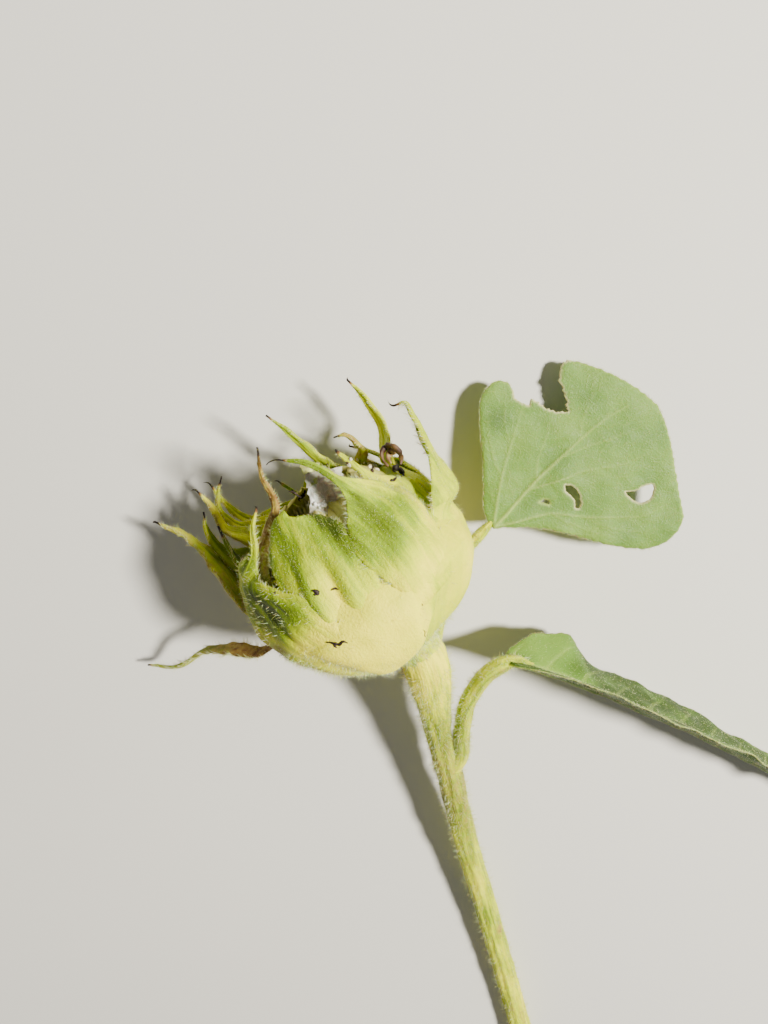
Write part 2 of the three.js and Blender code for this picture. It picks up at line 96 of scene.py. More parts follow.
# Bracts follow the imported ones. at: angle round the head. drift: how far that angle turns. leaves: where the
# bract leaves the head. layer: ring that it belongs to. half: half width. outline: how it narrows, one of
# OUTLINES. free: the points of its loose end. facing and twist: which way its back looks there and how far it
# turns. green, tip: depth of green in its middle and near its tip. dry: how brown it is. dark: the share of
# its length at which it dries up. thread: length of the dried thread at its tip, curl: how far that turns.
# fuzz: hairs on it, long: their length, lash: length of those along its margins. wave: how wavy its margins
# are. bumps: its swellings, as share along, place across, two widths and height. tucks: where a margin bends
# in, as side, share along, width and depth. slant: how far its end is cut aslant. What a bract leaves out is
# as in BRACT_USUAL.
BRACT_USUAL = dict(drift=0, outline="lance", twist=0, wave=0.22, dry=0, thread=0, lash=0.6, slant=0, bumps=(),
                   tucks=())
BRACTS = [{**BRACT_USUAL, **own} for own in (
    dict(name="front_right", at=43, drift=2, leaves=13, layer=0, half=7.7, outline="pointed",
         free=[[-3.2, 20.2, 33.5], [-7.6, 22.7, 33.3], [-11.9, 23.1, 32.5]],
         green=0.6, tip=0.82, dark=0.985, thread=2.2, curl=(0.3, -0.7), fuzz=1300, long=0.3, lash=1.1,
         tucks=[(-1, 0.24, 0.18, 0.4)],
         bumps=[(0.3, -0.12, 0.12, 0.22, 1.1), (0.38, 0.1, 0.1, 0.1, -1.2), (0.42, 0.62, 0.14, 0.12, 0.9),
                (0.46, 0.45, 0.12, 0.07, -1.0), (0.2, -0.35, 0.08, 0.25, 0.5), (0.55, -0.2, 0.08, 0.2, 0.6)]),
    # lower_left: its deep green middle is partly its own green, partly painted shade in its hollow
    dict(name="lower_left", at=-38, drift=-19, leaves=12, layer=0, half=12.4, outline="broad",
         free=[[-17, 7.2, 30.1], [-17.1, 10.8, 29.2], [-16.6, 13.6, 27.7]],
         green=1.0, tip=0.5, dry=0.05, dark=0.99, thread=0.4, curl=(0.8, 0.4), fuzz=330, long=0.9, lash=0.8,
         bumps=[(0.3, 0.26, 0.14, 0.35, -1.3), (0.16, 0.4, 0.1, 0.3, 0.4), (0.5, -0.3, 0.1, 0.3, -0.6),
                (0.48, 0.35, 0.1, 0.25, 0.5), (0.15, -0.5, 0.1, 0.2, 0.5)]),
    dict(name="right", at=86, leaves=2, layer=0, half=7.2, outline="ovate", twist=26, wave=0.1,
         free=[[14.7, 14.8, 21.5], [10.8, 20.9, 22.5], [7.6, 27.2, 23], [6.5, 29.2, 23], [4.9, 28.8, 23]],
         green=0.5, tip=0.42, dark=0.985, thread=1.5, curl=(1.0, 0.4), fuzz=900, long=0.45, lash=1.2,
         tucks=[(-1, 0.28, 0.25, 2.4)],
         bumps=[(0.35, 0.2, 0.15, 0.2, -0.4), (0.2, -0.4, 0.15, 0.2, 0.4)]),
    dict(name="under_right", at=126, leaves=13, layer=0, half=6, outline="ovate",
         free=[[-2.5, 18, 9.5]],
         green=0.55, tip=0.65, dry=0.02, dark=0.97, thread=1.0, curl=(0.9, 0.5), fuzz=800, long=0.5),
    dict(name="under_middle", at=162, leaves=13, layer=0, half=6, outline="ovate",
         free=[[-8.5, 13.5, 5]],
         green=0.6, tip=0.62, dry=0.02, dark=0.97, thread=0.9, curl=(0.7, -0.8), fuzz=800, long=0.5),
    dict(name="under_left", at=-162, leaves=12, layer=0, half=6, outline="ovate",
         free=[[-16, 10, 5.5]],
         green=0.55, tip=0.68, dry=0.02, dark=0.97, thread=1.2, curl=(0.8, 0.7), fuzz=800, long=0.55),
    dict(name="left_low", at=-125, leaves=3, layer=0, half=6,
         free=[[-22, -3, 13], [-25.8, 0.4, 14.3], [-27.9, 4.3, 14.5], [-28, 7.1, 14.5]],
         green=0.6, tip=0.55, dry=0.1, dark=0.98, thread=0.6, curl=(0.5, -0.4), fuzz=360, long=0.5, lash=0.8),
    dict(name="left_outer", at=-92, leaves=0.5, layer=0, half=5.1,
         free=[[-20.9, -7.5, 18.8], [-25.3, -2.5, 16.5], [-30.5, 2, 14], [-37.6, 4.3, 11]],
         green=0.42, tip=0.36, dry=0.2, dark=0.97, thread=0.5, curl=(0.3, 0.5), fuzz=420, long=0.5, lash=0.8),
    dict(name="front_left", at=-2, leaves=15, layer=1, half=7.5, outline="blunt",
         free=[[-11.2, 14.2, 32]],
         green=0.5, tip=0.66, dark=2, fuzz=1300, long=0.28, lash=0.7, slant=1.0,
         bumps=[(0.42, -0.3, 0.22, 0.16, 1.0), (0.4, 0.12, 0.25, 0.12, -0.85), (0.3, 0.42, 0.2, 0.14, 0.75),
                (0.62, 0.68, 0.3, 0.18, -0.8), (0.75, -0.05, 0.14, 0.25, 0.5),
                (0.16, 0.15, 0.08, 0.2, -0.4)]),
    dict(name="upper_fold", at=64, leaves=13, layer=1, half=6.9, outline="ovate",
         free=[[-1, 19.6, 25.5], [-4.4, 21.8, 23.5]],
         green=0.4, tip=0.36, dry=0.04, dark=0.975, fuzz=500, long=0.4),
    dict(name="upper_tall", at=106, leaves=12, layer=1, half=5.8,
         facing=[0.66, 0.36, -0.66],
         free=[[2.9, 22.6, 12.3], [-0.8, 28.2, 12], [-2.8, 30.2, 12]],
         green=0.32, tip=0.28, dark=0.985, thread=0.5, curl=(0.8, -0.5), fuzz=500, long=0.45, lash=0.8,
         wave=0.1),
    dict(name="upper_small", at=140, leaves=13, layer=1, half=4.5,
         free=[[-0.5, 18.3, 12], [-3.4, 21.8, 15.5], [-4.9, 21.3, 15]],
         green=0.55, tip=0.5, dry=0.3, dark=0.97, thread=0.8, curl=(1.0, 0.5), fuzz=350, long=0.45),
    dict(name="upper_left", at=178, leaves=14, layer=1, half=5.1,
         free=[[-6.9, 15.2, 11.5], [-8.9, 18.6, 15], [-12.4, 22.3, 15.8], [-15.8, 25.3, 16.5]],
         green=0.5, tip=0.44, dry=0.05, dark=0.99, thread=0.3, curl=(0.5, 0.8), fuzz=500, long=0.45,
         lash=0.7),
    dict(name="left_far", at=-152, leaves=12, layer=1, half=4,
         free=[[-20.5, 3.5, 8.5], [-24.9, 6.2, 8.3], [-28, 10.4, 8]],
         green=0.42, tip=0.36, dry=0.14, dark=0.98, thread=1.3, curl=(0.6, 0.6), fuzz=400, long=0.5),
    dict(name="left_middle", at=-122, leaves=11, layer=1, half=4.7,
         free=[[-20.9, 3.1, 14], [-24.5, 3.8, 13.5], [-27, 7.8, 12.5], [-29.6, 10.4, 11.5]],
         green=0.4, tip=0.34, dry=0.2, dark=0.98, thread=1.0, curl=(0.7, 0.4), fuzz=400, long=0.5),
    dict(name="left_dark", at=-90, leaves=10, layer=1, half=4.7,
         free=[[-22.2, 1.4, 19.5], [-23.9, 4.1, 18.5], [-24.8, 6.3, 18]],
         green=0.95, tip=0.9, dry=0.05, dark=0.93, thread=0.4, curl=(0.8, -0.6), fuzz=400, long=0.5),
    dict(name="left_high", at=-48, leaves=13, layer=2, half=3.6,
         free=[[-13.9, 13.5, 26], [-15.9, 17.6, 24.5], [-16.7, 21.4, 22.5]],
         green=0.62, tip=0.6, dry=0.5, dark=0.975, thread=0.5, curl=(0.3, 0.3), fuzz=260, long=0.4),
    dict(name="left_inner", at=-137, leaves=12, layer=2, half=3.6,
         free=[[-22.5, 3.4, 10.8], [-26, 6.5, 10.8], [-26.1, 10.1, 10.5], [-25.5, 12.1, 10.5]],
         green=0.4, tip=0.36, dry=0.16, dark=0.98, thread=0.9, curl=(0.9, -0.7), fuzz=400, long=0.5),
    dict(name="droop", at=-88, leaves=-3.5, layer=-1, half=1.7,
         facing=[0.559, -0.829, 0],
         free=[[-19, -16.8, 20.5], [-23.8, -18, 17.5], [-30.5, -21.2, 13], [-37.2, -27.2, 9],
               [-44.2, -29.4, 5]],
         green=0.76, tip=0.5, dry=0.24, dark=0.995, thread=0.3, curl=(0.5, 0.2), fuzz=420, long=0.8,
         lash=1.1),
)]

BROAD_STALK = [[12, -28, 17], [12.5, -25.5, 14], [13.4, -19, 10.8], [15, -12.5, 9], [17.1, -5.7, 8.2],
               [18.8, -1.9, 8.6], [22.1, 2.8, 9.5], [23.4, 4.5, 9.2]]
FOLDED_STALK = [[16.8, -49.5, 11.9], [18.2, -45.3, 12.9], [18.4, -37.5, 15.2], [19.2, -29.4, 17],
                [22.8, -22.9, 17.4], [27.4, -21, 16.8], [31, -22.6, 15.6]]
FOLDED_LINE = [[25.8, -21.2, 16.7], [29.4, -22.3, 16.5], [35.3, -24.8, 15.6], [44.4, -29.1, 14.8],
               [55.1, -35, 13.8], [66.1, -41, 12.8], [82.5, -51.4, 10.4], [92.3, -57.7, 8.2],
               [103, -65.1, 5.5]]
HANG = np.array([0, -0.375, -0.927])  # the way in which the folded leaf's blade hangs

# Broad leaf: its outline as curves, drawn from the foot of the blade, with its foot's place and its tilts
BROAD_FOOT = np.array([22.4, 3.3, 9.5])
BROAD_TILTS = np.radians([-10, 2])
BROAD_LIFT = 0.3  # how far its middle lies over the plane of the drawing
BROAD_START = (0.6, -0.7)
BROAD_CURVES = [
    ((-1.2, 1), (-1.4, 3.5), (-1.3, 6)), ((-1.2, 11), (-2.2, 16), (-2.3, 20.6)),
    ((-2.4, 23.4), (-0.8, 25.4), (0.9, 25.6)), ((3.2, 25.8), (3.3, 24), (3.9, 22.8)),
    ((4.2, 22.2), (5.4, 21.6), (6.4, 21.4)), ((6.5, 21.8), (6.7, 22.3), (6.9, 22.6)),
    ((7.9, 21.8), (9.1, 21.2), (10.2, 20.5)), ((11.2, 20.3), (12.2, 20.2), (13.2, 20.1)),
    ((13.6, 21.4), (12.4, 23.6), (11.5, 25.9)), ((11.6, 27.6), (12, 29), (13.4, 29.1)),
    ((18, 28.4), (26, 24.6), (29.4, 21)), ((32.6, 16), (33.6, 6.6), (35.2, 1)),
    ((35.2, -2.2), (31.5, -5.4), (27.8, -5.1)), ((20, -4.4), (14, -1.2), (9.2, -0.9)),
    ((6, -0.5), (3, -0.4), (1.2, -0.8)),
]
BROAD_HOLES = [
    [(13.3, 7.1), (14.5, 7), (15.7, 5.9), (16.3, 4.5), (16.2, 2.8), (15.5, 2.8), (15.3, 4.2), (14.5, 5.2),
     (13.5, 6.1)],
    [(24.4, 5.7), (26.3, 5.8), (27.7, 6.6), (29.3, 7), (29.5, 5.8), (28.9, 4.4), (27.7, 3.7), (26.3, 3.9),
     (25.2, 4.7)],
    [(8.9, 4), (9.6, 4.5), (10.4, 4.3), (10.7, 3.5), (10.2, 3.7), (9.5, 3.9)],
]
# Veins of the broad leaf, in the same drawing, with their half widths and heights
BROAD_VEINS = [
    ([(0.6, -0.6), (4, 3.2), (8, 7.9), (12.2, 12), (15.6, 15.2), (19.6, 18.6), (23.8, 21.2)], 0.55, 0.5),
    ([(0.6, -0.4), (1.1, 4), (1.8, 8.5), (3.3, 14.2), (4.6, 19), (5.3, 21.2)], 0.36, 0.3),
    ([(0.8, -0.4), (5, 0.6), (11, 1.9), (17, 1.2), (23, 1.0), (27.5, 1.3), (32.5, 3.6)], 0.36, 0.3),
    ([(6.6, 6.3), (12, 8), (17.5, 9.8), (23, 10.6), (28.6, 12.9)], 0.28, 0.22),
    ([(12.2, 12), (17, 14), (22, 15.6), (27, 17.6)], 0.24, 0.18),
    ([(8, 7.9), (8.3, 12), (9.6, 16), (10.2, 20)], 0.24, 0.18),
    ([(1.8, 8.5), (0.4, 12), (-0.8, 17.4), (-1.2, 20.6)], 0.22, 0.16),
    ([(0.9, 3), (-0.1, 6), (-0.8, 9.6)], 0.2, 0.12),
    ([(11, 1.9), (15, -0.2), (20, -2), (26, -3.6)], 0.22, 0.15),
    ([(17, 1.2), (21, -0.6), (27, -1.6), (32, -1)], 0.2, 0.13),
    ([(15.6, 15.2), (16, 19), (17.6, 23.4), (17.6, 26)], 0.2, 0.15),
    ([(3.3, 14.2), (2.2, 18), (2, 22)], 0.18, 0.12),
    ([(17.5, 9.8), (22, 8.6), (26, 8.4)], 0.16, 0.1),
    ([(19.6, 18.6), (21.5, 21.2), (22.8, 24)], 0.18, 0.12),
]


def srgb(text):
    """Linear colour of a screen colour written as six hexadecimal digits."""
    parts = [int(text[i:i + 2], 16) / 255 for i in (0, 2, 4)]
    return tuple(p / 12.92 if p <= 0.04045 else ((p + 0.055) / 1.055) ** 2.4 for p in parts)


def unit(vectors):
    """Vectors at length one."""
    return vectors / np.maximum(np.linalg.norm(vectors, axis=-1, keepdims=True), 1e-9)


def mix(a, b, share):
    """From a to b by a share."""
    return a + (b - a) * share


def smooth(value, low, high):
    """Soft step from 0 at low to 1 at high."""
    t = np.clip((value - low) / (high - low), 0, 1)
    return t * t * (3 - 2 * t)


def bell(value, width):
    """Soft bump of height one around zero."""
    return np.exp(-((value / width) ** 2))


def relief(points, size, seed, waves=16):
    """Soft seeded relief, about -1 to 1, whose bumps are about `size` across."""
    rng = np.random.default_rng(seed)
    ways = unit(rng.normal(size=(waves, points.shape[-1]))) * rng.uniform(0.6, 1.7, (waves, 1)) * np.pi / size
    phase = rng.uniform(0, 2 * np.pi, waves)
    return np.cos(points @ ways.T + phase).sum(-1) / np.sqrt(waves)


class Line:
    """A smooth line through points, read by the share of its length."""

    steps = 60  # straight pieces from each point to the next

    def __init__(self, points):
        p = np.array(points, float)
        p = np.vstack([2 * p[0] - p[1], p, 2 * p[-1] - p[-2]])
        t = np.linspace(0, 1, self.steps + 1)[:-1, None]
        rows = []
        for a, b, c, d in zip(p, p[1:], p[2:], p[3:]):
            da, db, dc = (np.sum((u - v) ** 2) ** 0.25 for u, v in ((a, b), (b, c), (c, d)))
            m = ((b - a) / da - (c - a) / (da + db) + (c - b) / db) * db
            n = ((c - b) / db - (d - b) / (db + dc) + (d - c) / dc) * db
            rows.append(b + m * t + (3 * (c - b) - 2 * m - n) * t ** 2 + (2 * (b - c) + m + n) * t ** 3)
        self.points = np.vstack(rows + [p[-2:-1]])
        steps = np.linalg.norm(np.diff(self.points, axis=0), axis=1)
        self.length = steps.sum()
        self.shares = np.concatenate([[0], np.cumsum(steps)]) / self.length

    def at(self, share):
        """Point at a share of the length."""
        return np.stack([np.interp(share, self.shares, self.points[:, k]) for k in range(3)], -1)

    def way(self, share):
        """Direction of the line at a share of its length."""
        share = np.asarray(share, float)
        return unit(self.at(np.minimum(share + 0.004, 1)) - self.at(np.maximum(share - 0.004, 0)))

    def knot(self, number):
        """Share of the length at which the line passes one of its points."""
        return self.shares[self.steps * number]


def round_turn(count):
    """Angles in radians, evenly spread once round."""
    return np.linspace(0, 2 * np.pi, count, endpoint=False)


def apart(angle, other):
    """Degrees from one angle round the head to another, from -180 to 180."""
    return (angle - other + 180) % 360 - 180


def head_radius(along):
    """Radius of the head over its outer bracts."""
    back = np.clip(-along / BACK_LENGTH, 0, 1)
    bowl = HEAD_RADIUS * (1 - back ** 2) ** 0.4
    front = np.clip(along / FRONT_LENGTH, 0, 1)
    ahead = mix(MOUTH_RADIUS, HEAD_RADIUS, np.sqrt(1 - front ** 2.2))
    return np.where(along < 0, np.cbrt(bowl ** 3 + NECK_RADIUS ** 3), ahead)


def head_point(along, radius, angle):
    """Point of the head from its distance along the axis, its radius and its angle in degrees."""
    along, radius, turn = np.broadcast_arrays(along, radius, np.radians(angle))
    out = np.cos(turn)[..., None] * UP + np.sin(turn)[..., None] * SIDE
    return HEAD_CENTRE + along[..., None] * AXIS + radius[..., None] * out


def head_place(points):
    """Distance along the head's axis, radius and angle in degrees of points."""
    away = points - HEAD_CENTRE
    sideways, upwards = away @ SIDE, away @ UP
    return away @ AXIS, np.hypot(sideways, upwards), np.degrees(np.arctan2(sideways, upwards))


def turned_about(vectors, axes, angles):
    """Vectors turned about unit axes by angles in radians."""
    c, s = np.cos(angles)[..., None], np.sin(angles)[..., None]
    along = axes * (axes * vectors).sum(-1, keepdims=True)
    return vectors * c + np.cross(axes, vectors) * s + along * (1 - c)


def as_grid(*values):
    """Values or rows and columns of them as one grid of points."""
    return np.stack(np.broadcast_arrays(*values), -1)


def grid_normals(points):
    """Unit normals of a grid of points."""
    return unit(np.cross(np.gradient(points, axis=0), np.gradient(points, axis=1)))


def new_mesh(name, points, faces, values):
    """Smooth mesh from points in millimetres, lists of faces and one value or vector for each point."""
    first = points[faces[0][:, 0]]
    middle = points.mean(0)
    spans = np.cross(points[faces[0][:, 1]] - first, points[faces[0][:, 2]] - first)
    if ((first - middle) * spans).sum() < 0:
        faces = [f[:, ::-1] for f in faces]
    mesh = bpy.data.meshes.new(name)
    points = np.column_stack([points[:, :2], np.maximum(points[:, 2], GROUND)])
    mesh.vertices.add(len(points))
    mesh.vertices.foreach_set("co", ((points + SHIFT) * MM).astype(np.float32).ravel())
    corners = np.concatenate([f.ravel() for f in faces]).astype(np.int32)
    sizes = np.concatenate([np.full(len(f), f.shape[1]) for f in faces])
    mesh.loops.add(len(corners))
    mesh.loops.foreach_set("vertex_index", corners)
    mesh.polygons.add(len(sizes))
    mesh.polygons.foreach_set("loop_start", (np.cumsum(sizes) - sizes).astype(np.int32))
    mesh.polygons.foreach_set("use_smooth", np.ones(len(sizes), bool))
    for key, value in values.items():
        value = np.ascontiguousarray(value, dtype=np.float32)
        kind = ("FLOAT", "value") if value.ndim == 1 else ("FLOAT_VECTOR", "vector")
        mesh.attributes.new(key, kind[0], "POINT").data.foreach_set(kind[1], value.ravel())
    mesh.update(calc_edges=True)
    mesh.validate()
    return mesh


def loft(rings, values):
    """Closed skin over rings of points, its two ends closed to their middles."""
    rows, around = rings.shape[:2]
    i, j = np.meshgrid(np.arange(rows - 1), np.arange(around), indexing="ij")
    a, b = i * around + j, i * around + (j + 1) % around
    quads = np.stack([a, b, b + around, a + around], -1).reshape(-1, 4)
    j = np.arange(around)
    k = (j + 1) % around
    end = (rows - 1) * around
    ends = [as_grid(k, j, rows * around), as_grid(j + end, k + end, rows * around + 1)]
    points = np.vstack([rings.reshape(-1, 3), rings[0].mean(0), rings[-1].mean(0)])
    flat = {}
    for key, value in values.items():
        value = np.broadcast_to(value, rings.shape[:2] + np.shape(value)[2:])
        middles = value[:1].mean(1), value[-1:].mean(1)
        flat[key] = np.concatenate([value.reshape((-1,) + value.shape[2:]), *middles])
    return points, [quads, np.vstack(ends)], flat


def joined(parts):
    """Several bodies as one list of points, faces and the values that they all carry."""
    faces, start = {}, 0
    for points, part_faces, _ in parts:
        for f in part_faces:
            faces.setdefault(f.shape[1], []).append(f + start)
        start += len(points)
    keys = [key for key in parts[0][2] if all(key in values for _, _, values in parts)]
    return (np.vstack([points for points, _, _ in parts]), [np.vstack(f) for f in faces.values()],
            {key: np.concatenate([values[key] for _, _, values in parts]) for key in keys})


def add_piece(name, body, material, node=None):
    """Adds a body to the scene, riding on the plant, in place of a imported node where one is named."""
    mesh = new_mesh(name, *body)
    mesh.materials.append(material)
    piece = bpy.data.objects.new(name, mesh)
    bpy.context.scene.collection.objects.link(piece)
    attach(piece, "root")
    if node:
        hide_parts(node)


def route_frames(centres, first):
    """Two directions across a route of points that don't spin."""
    ways = unit(np.gradient(centres, axis=0))
    across = np.empty_like(ways)
    previous = np.array(first, float)
    for i, way in enumerate(ways):
        previous = unit(previous - way * (previous @ way))
        across[i] = previous
    return across, np.cross(ways, across)


def tube(centres, radius, around, first, values):
    """Closed limb along a route, its rings and the ways out of it. radius: one for each row, or a grid."""
    across, over = route_frames(centres, first)
    turn = round_turn(around)
    wide = np.broadcast_to(np.reshape(radius, (-1, 1)) if np.ndim(radius) < 2 else radius,
                           (len(centres), around))
    out = np.cos(turn)[None, :, None] * across[:, None] + np.sin(turn)[None, :, None] * over[:, None]
    rings = centres[:, None] + out * wide[..., None]
    gone = np.concatenate([[0], np.cumsum(np.linalg.norm(np.diff(centres, axis=0), axis=1))])
    grain = as_grid(np.cos(turn)[None] * wide, np.sin(turn)[None] * wide, gone[:, None])
    return loft(rings, {"grain": grain, **values}), rings, out


def scatter(points, normals, weight, count, rng):
    """Random places on a grid of points, with their normals and the way along the grid's rows."""
    a, b, c = points[:-1, :-1], points[1:, :-1], points[:-1, 1:]
    area = np.linalg.norm(np.cross(b - a, c - a), axis=-1)
    area = area * np.broadcast_to(weight, points.shape[:2])[:-1, :-1]
    pick = rng.choice(area.size, count, p=area.ravel() / area.sum())
    i, j = np.divmod(pick, area.shape[1])
    u, v = rng.random((2, count, 1))

    def read(grid):
        low = grid[i, j] * (1 - v) + grid[i, j + 1] * v
        high = grid[i + 1, j] * (1 - v) + grid[i + 1, j + 1] * v
        return low * (1 - u) + high * u

    return read(points), unit(read(normals)), unit(b[i, j] - a[i, j])


HAIR_SIDES = 3
HAIR_POINTS = 2 * HAIR_SIDES + 1
HAIR_QUADS = np.array([[0, 1, 4, 3], [1, 2, 5, 4], [2, 0, 3, 5]])
HAIR_TIPS = np.array([[3, 4, 6], [4, 5, 6], [5, 3, 6]])


def hairs(roots, ways, lengths, thick, bend, rng):
    """Tapered three-sided hairs from their roots. bend is how far their tips lean over, as vectors."""
    first = unit(np.cross(ways, rng.normal(size=ways.shape)))
    second = np.cross(ways, first)
    rows = []
    for share, wide in ((-0.06, 1), (0.5, 0.75)):
        middle = roots + ways * (lengths * share)[:, None] + bend * (lengths * max(share, 0) ** 2)[:, None]
        for turn in (0, 2 * np.pi / HAIR_SIDES, 4 * np.pi / HAIR_SIDES):
            rows.append(middle + (first * np.cos(turn) + second * np.sin(turn)) * (thick * wide)[:, None])
    rows.append(roots + ways * lengths[:, None] + bend * lengths[:, None])
    points = np.stack(rows, 1)
    points = points[points[..., 2].min(1) > GROUND]
    start = (np.arange(len(points)) * HAIR_POINTS)[:, None, None]
    quads = (start + HAIR_QUADS).reshape(-1, 4)
    tips = (start + HAIR_TIPS).reshape(-1, 3)
    tint = np.repeat(rng.random(len(points)), HAIR_POINTS)
    return points.reshape(-1, 3), [quads, tips], {"tint": tint}


def straight_hairs(roots, ways, low, high, thick, rng):
    """Straight hairs whose lengths lie between two ends."""
    return hairs(roots, ways, rng.uniform(low, high, len(roots)), np.full(len(roots), thick), 0 * ways, rng)


def fuzz(points, normals, weight, count, length, rng, thick, lean=0.55):
    """Hairs spread over a grid of points, leaning along it."""
    roots, out, along = scatter(points, normals, weight, count, rng)
    ways = unit(out + along * lean * rng.uniform(-0.2, 1, (count, 1)) + rng.normal(0, 0.32, (count, 3)))
    lengths = length * rng.uniform(0.45, 1.25, count)
    bend = along * rng.uniform(-0.1, 0.35, (count, 1)) + rng.normal(0, 0.13, (count, 3))
    return hairs(roots, ways, lengths, np.full(count, thick) * rng.uniform(0.75, 1.2, count), bend, rng)


def head_settings():
    """The settings of the flower head."""
    return bpy.context.scene.sunflower_head


class Nodes:
    """Adds nodes to a tree and feeds their sockets with numbers or with other sockets."""

    def __init__(self, tree):
        self.tree = tree

    def add(self, kind, inputs=None, **settings):
        """A new node with its settings, its sockets fed."""
        node = self.tree.nodes.new("ShaderNode" + kind)
        for key, value in settings.items():
            setattr(node, key, value)
        for key, value in (inputs or {}).items():
            self.feed(node.inputs[key], value)
        return node

    def feed(self, socket, value):
        """Links a socket to another, or gives it a number."""
        if isinstance(value, bpy.types.NodeSocket):
            self.tree.links.new(value, socket)
        else:
            socket.default_value = value

    def math(self, operation, *values):
        """One step of arithmetic."""
        return self.add("Math", dict(enumerate(values)), operation=operation).outputs[0]

    def times(self, a, b):
        """Two values multiplied."""
        return self.math("MULTIPLY", a, b)

    def swing(self, value, amount, middle=0.5):
        """How far a value lies off its middle, times an amount."""
        return self.times(self.math("SUBTRACT", value, middle), amount)

    def near(self, distance, reach):
        """From 1 at no distance down to 0 at the reach and beyond."""
        return self.math("SUBTRACT", 1.0, self.math("MINIMUM", self.math("DIVIDE", distance, reach), 1.0))

    def span(self, value, low, high, new_low=0.0, new_high=1.0):
        """Soft step of a value between two ends."""
        ends = {"Value": value, "From Min": low, "From Max": high, "To Min": new_low, "To Max": new_high}
        return self.add("MapRange", ends, interpolation_type="SMOOTHSTEP").outputs[0]

    def blend(self, share, a, b):
        """One colour over another by a share."""
        return self.add("Mix", {0: share, 6: a, 7: b}, data_type="RGBA").outputs[2]

    def noise(self, vector, scale, detail):
        """Soft cloudy noise around one half."""
        return self.add("TexNoise", {"Vector": vector, "Scale": scale, "Detail": detail,
                                     "Roughness": 0.55}).outputs[0]

    def cells(self, vector, scale, feature="F1"):
        """Distance from the middles or, with another feature, from the edges of scattered cells."""
        return self.add("TexVoronoi", {"Vector": vector, "Scale": scale}, feature=feature).outputs[0]

    def scaled(self, vector, by):
        """A vector with each of its sides scaled, by one number or by another vector."""
        by = (by, by, by) if isinstance(by, (int, float)) else by
        return self.add("VectorMath", {0: vector, 1: by}, operation="MULTIPLY").outputs[0]

    def value(self, name):
        """A number that the mesh carries at each point."""
        return self.add("Attribute", attribute_name=name).outputs["Fac"]

    def place(self):
        """The object's own coordinates in millimetres."""
        return self.scaled(self.add("TexCoord").outputs["Object"], 1 / MM)

    def ramp(self, share, stops):
        """Colours along a share."""
        node = self.add("ValToRGB", {0: share})
        points = node.color_ramp.elements
        while len(points) < len(stops):
            points.new(0.5)
        for point, (where, colour) in zip(points, stops):
            point.position = where
            point.color = (*colour, 1)
        return node.outputs[0]


def new_group(name, inputs, outputs):
    """Empty shader node group with named sockets, given as name: (kind, default)."""
    tree = bpy.data.node_groups.new(name, "ShaderNodeTree")
    for key, (kind, default) in inputs.items():
        socket = tree.interface.new_socket(key, in_out="INPUT", socket_type="NodeSocket" + kind)
        if default is not None:
            socket.default_value = default
    for key, kind in outputs.items():
        tree.interface.new_socket(key, in_out="OUTPUT", socket_type="NodeSocket" + kind)
    return Nodes(tree), tree.nodes.new("NodeGroupInput").outputs, tree.nodes.new("NodeGroupOutput").inputs


def shader_groups():
    """The shared effects: soft mottling, lengthwise streaks, pale down and a net of veins."""
    vec, num, col = "Vector", "Float", "Color"
    n, i, o = new_group("Soft Mottle", {"Place": (vec, None), "Colour": (col, None), "Size": (num, 4.0),
                                        "Amount": (num, 0.2)}, {"Colour": col, "Mask": num})
    wide = n.noise(n.scaled(i["Place"], 0.12), i["Size"], 2)
    fine = n.noise(n.scaled(i["Place"], 0.9), i["Size"], 4)
    both = n.math("ADD", n.swing(wide, 1.4), n.swing(fine, 0.7))
    gain = n.math("ADD", 1.0, n.times(both, i["Amount"]))
    n.feed(o["Colour"], n.add("VectorMath", {0: i["Colour"], "Scale": gain}, operation="SCALE").outputs[0])
    n.feed(o["Mask"], n.math("ADD", both, 0.5))

    n, i, o = new_group("Long Streaks", {"Grain": (vec, None), "Fineness": (num, 2.0), "Length": (num, 0.12)},
                        {"Mask": num, "Height": num})
    drawn = n.add("CombineXYZ", {0: 1.0, 1: 1.0, 2: i["Length"]}).outputs[0]
    stretched = n.scaled(i["Grain"], drawn)
    broad = n.noise(stretched, i["Fineness"], 2)
    thin = n.noise(stretched, n.times(i["Fineness"], 3.1), 2)
    both = n.math("ADD", n.times(broad, 0.65), n.times(thin, 0.35))
    n.feed(o["Mask"], n.span(both, 0.36, 0.66))
    n.feed(o["Height"], both)

    n, i, o = new_group("Pale Down", {"Place": (vec, None), "Size": (num, 3.0), "Cover": (num, 0.2)},
                        {"Mask": num, "Height": num})
    spots = n.cells(i["Place"], i["Size"])
    mask = n.near(spots, n.times(i["Cover"], n.span(n.noise(i["Place"], 0.5, 2), 0.3, 0.7, 0.5, 1.5)))
    n.feed(o["Mask"], mask)
    n.feed(o["Height"], mask)

    n, i, o = new_group("Vein Net", {"Place": (vec, None), "Size": (num, 0.6), "Width": (num, 0.08)},
                        {"Mask": num, "Height": num})
    sway = n.add("TexNoise", {"Vector": i["Place"], "Scale": 0.9, "Detail": 2.0}).outputs[1]
    bent = n.add("VectorMath", {0: i["Place"], 1: n.scaled(sway, 0.7)}, operation="ADD").outputs[0]
    coarse = n.near(n.cells(bent, i["Size"], "DISTANCE_TO_EDGE"), i["Width"])
    small = n.near(n.cells(bent, n.times(i["Size"], 3.2), "DISTANCE_TO_EDGE"), i["Width"])
    both = n.math("MAXIMUM", coarse, n.times(small, 0.45))
    n.feed(o["Mask"], both)
    n.feed(o["Height"], both)


def placed(nodes, name, inputs):
    """Places one of the shared effects in a material."""
    return nodes.add("Group", inputs, node_tree=bpy.data.node_groups[name]).outputs


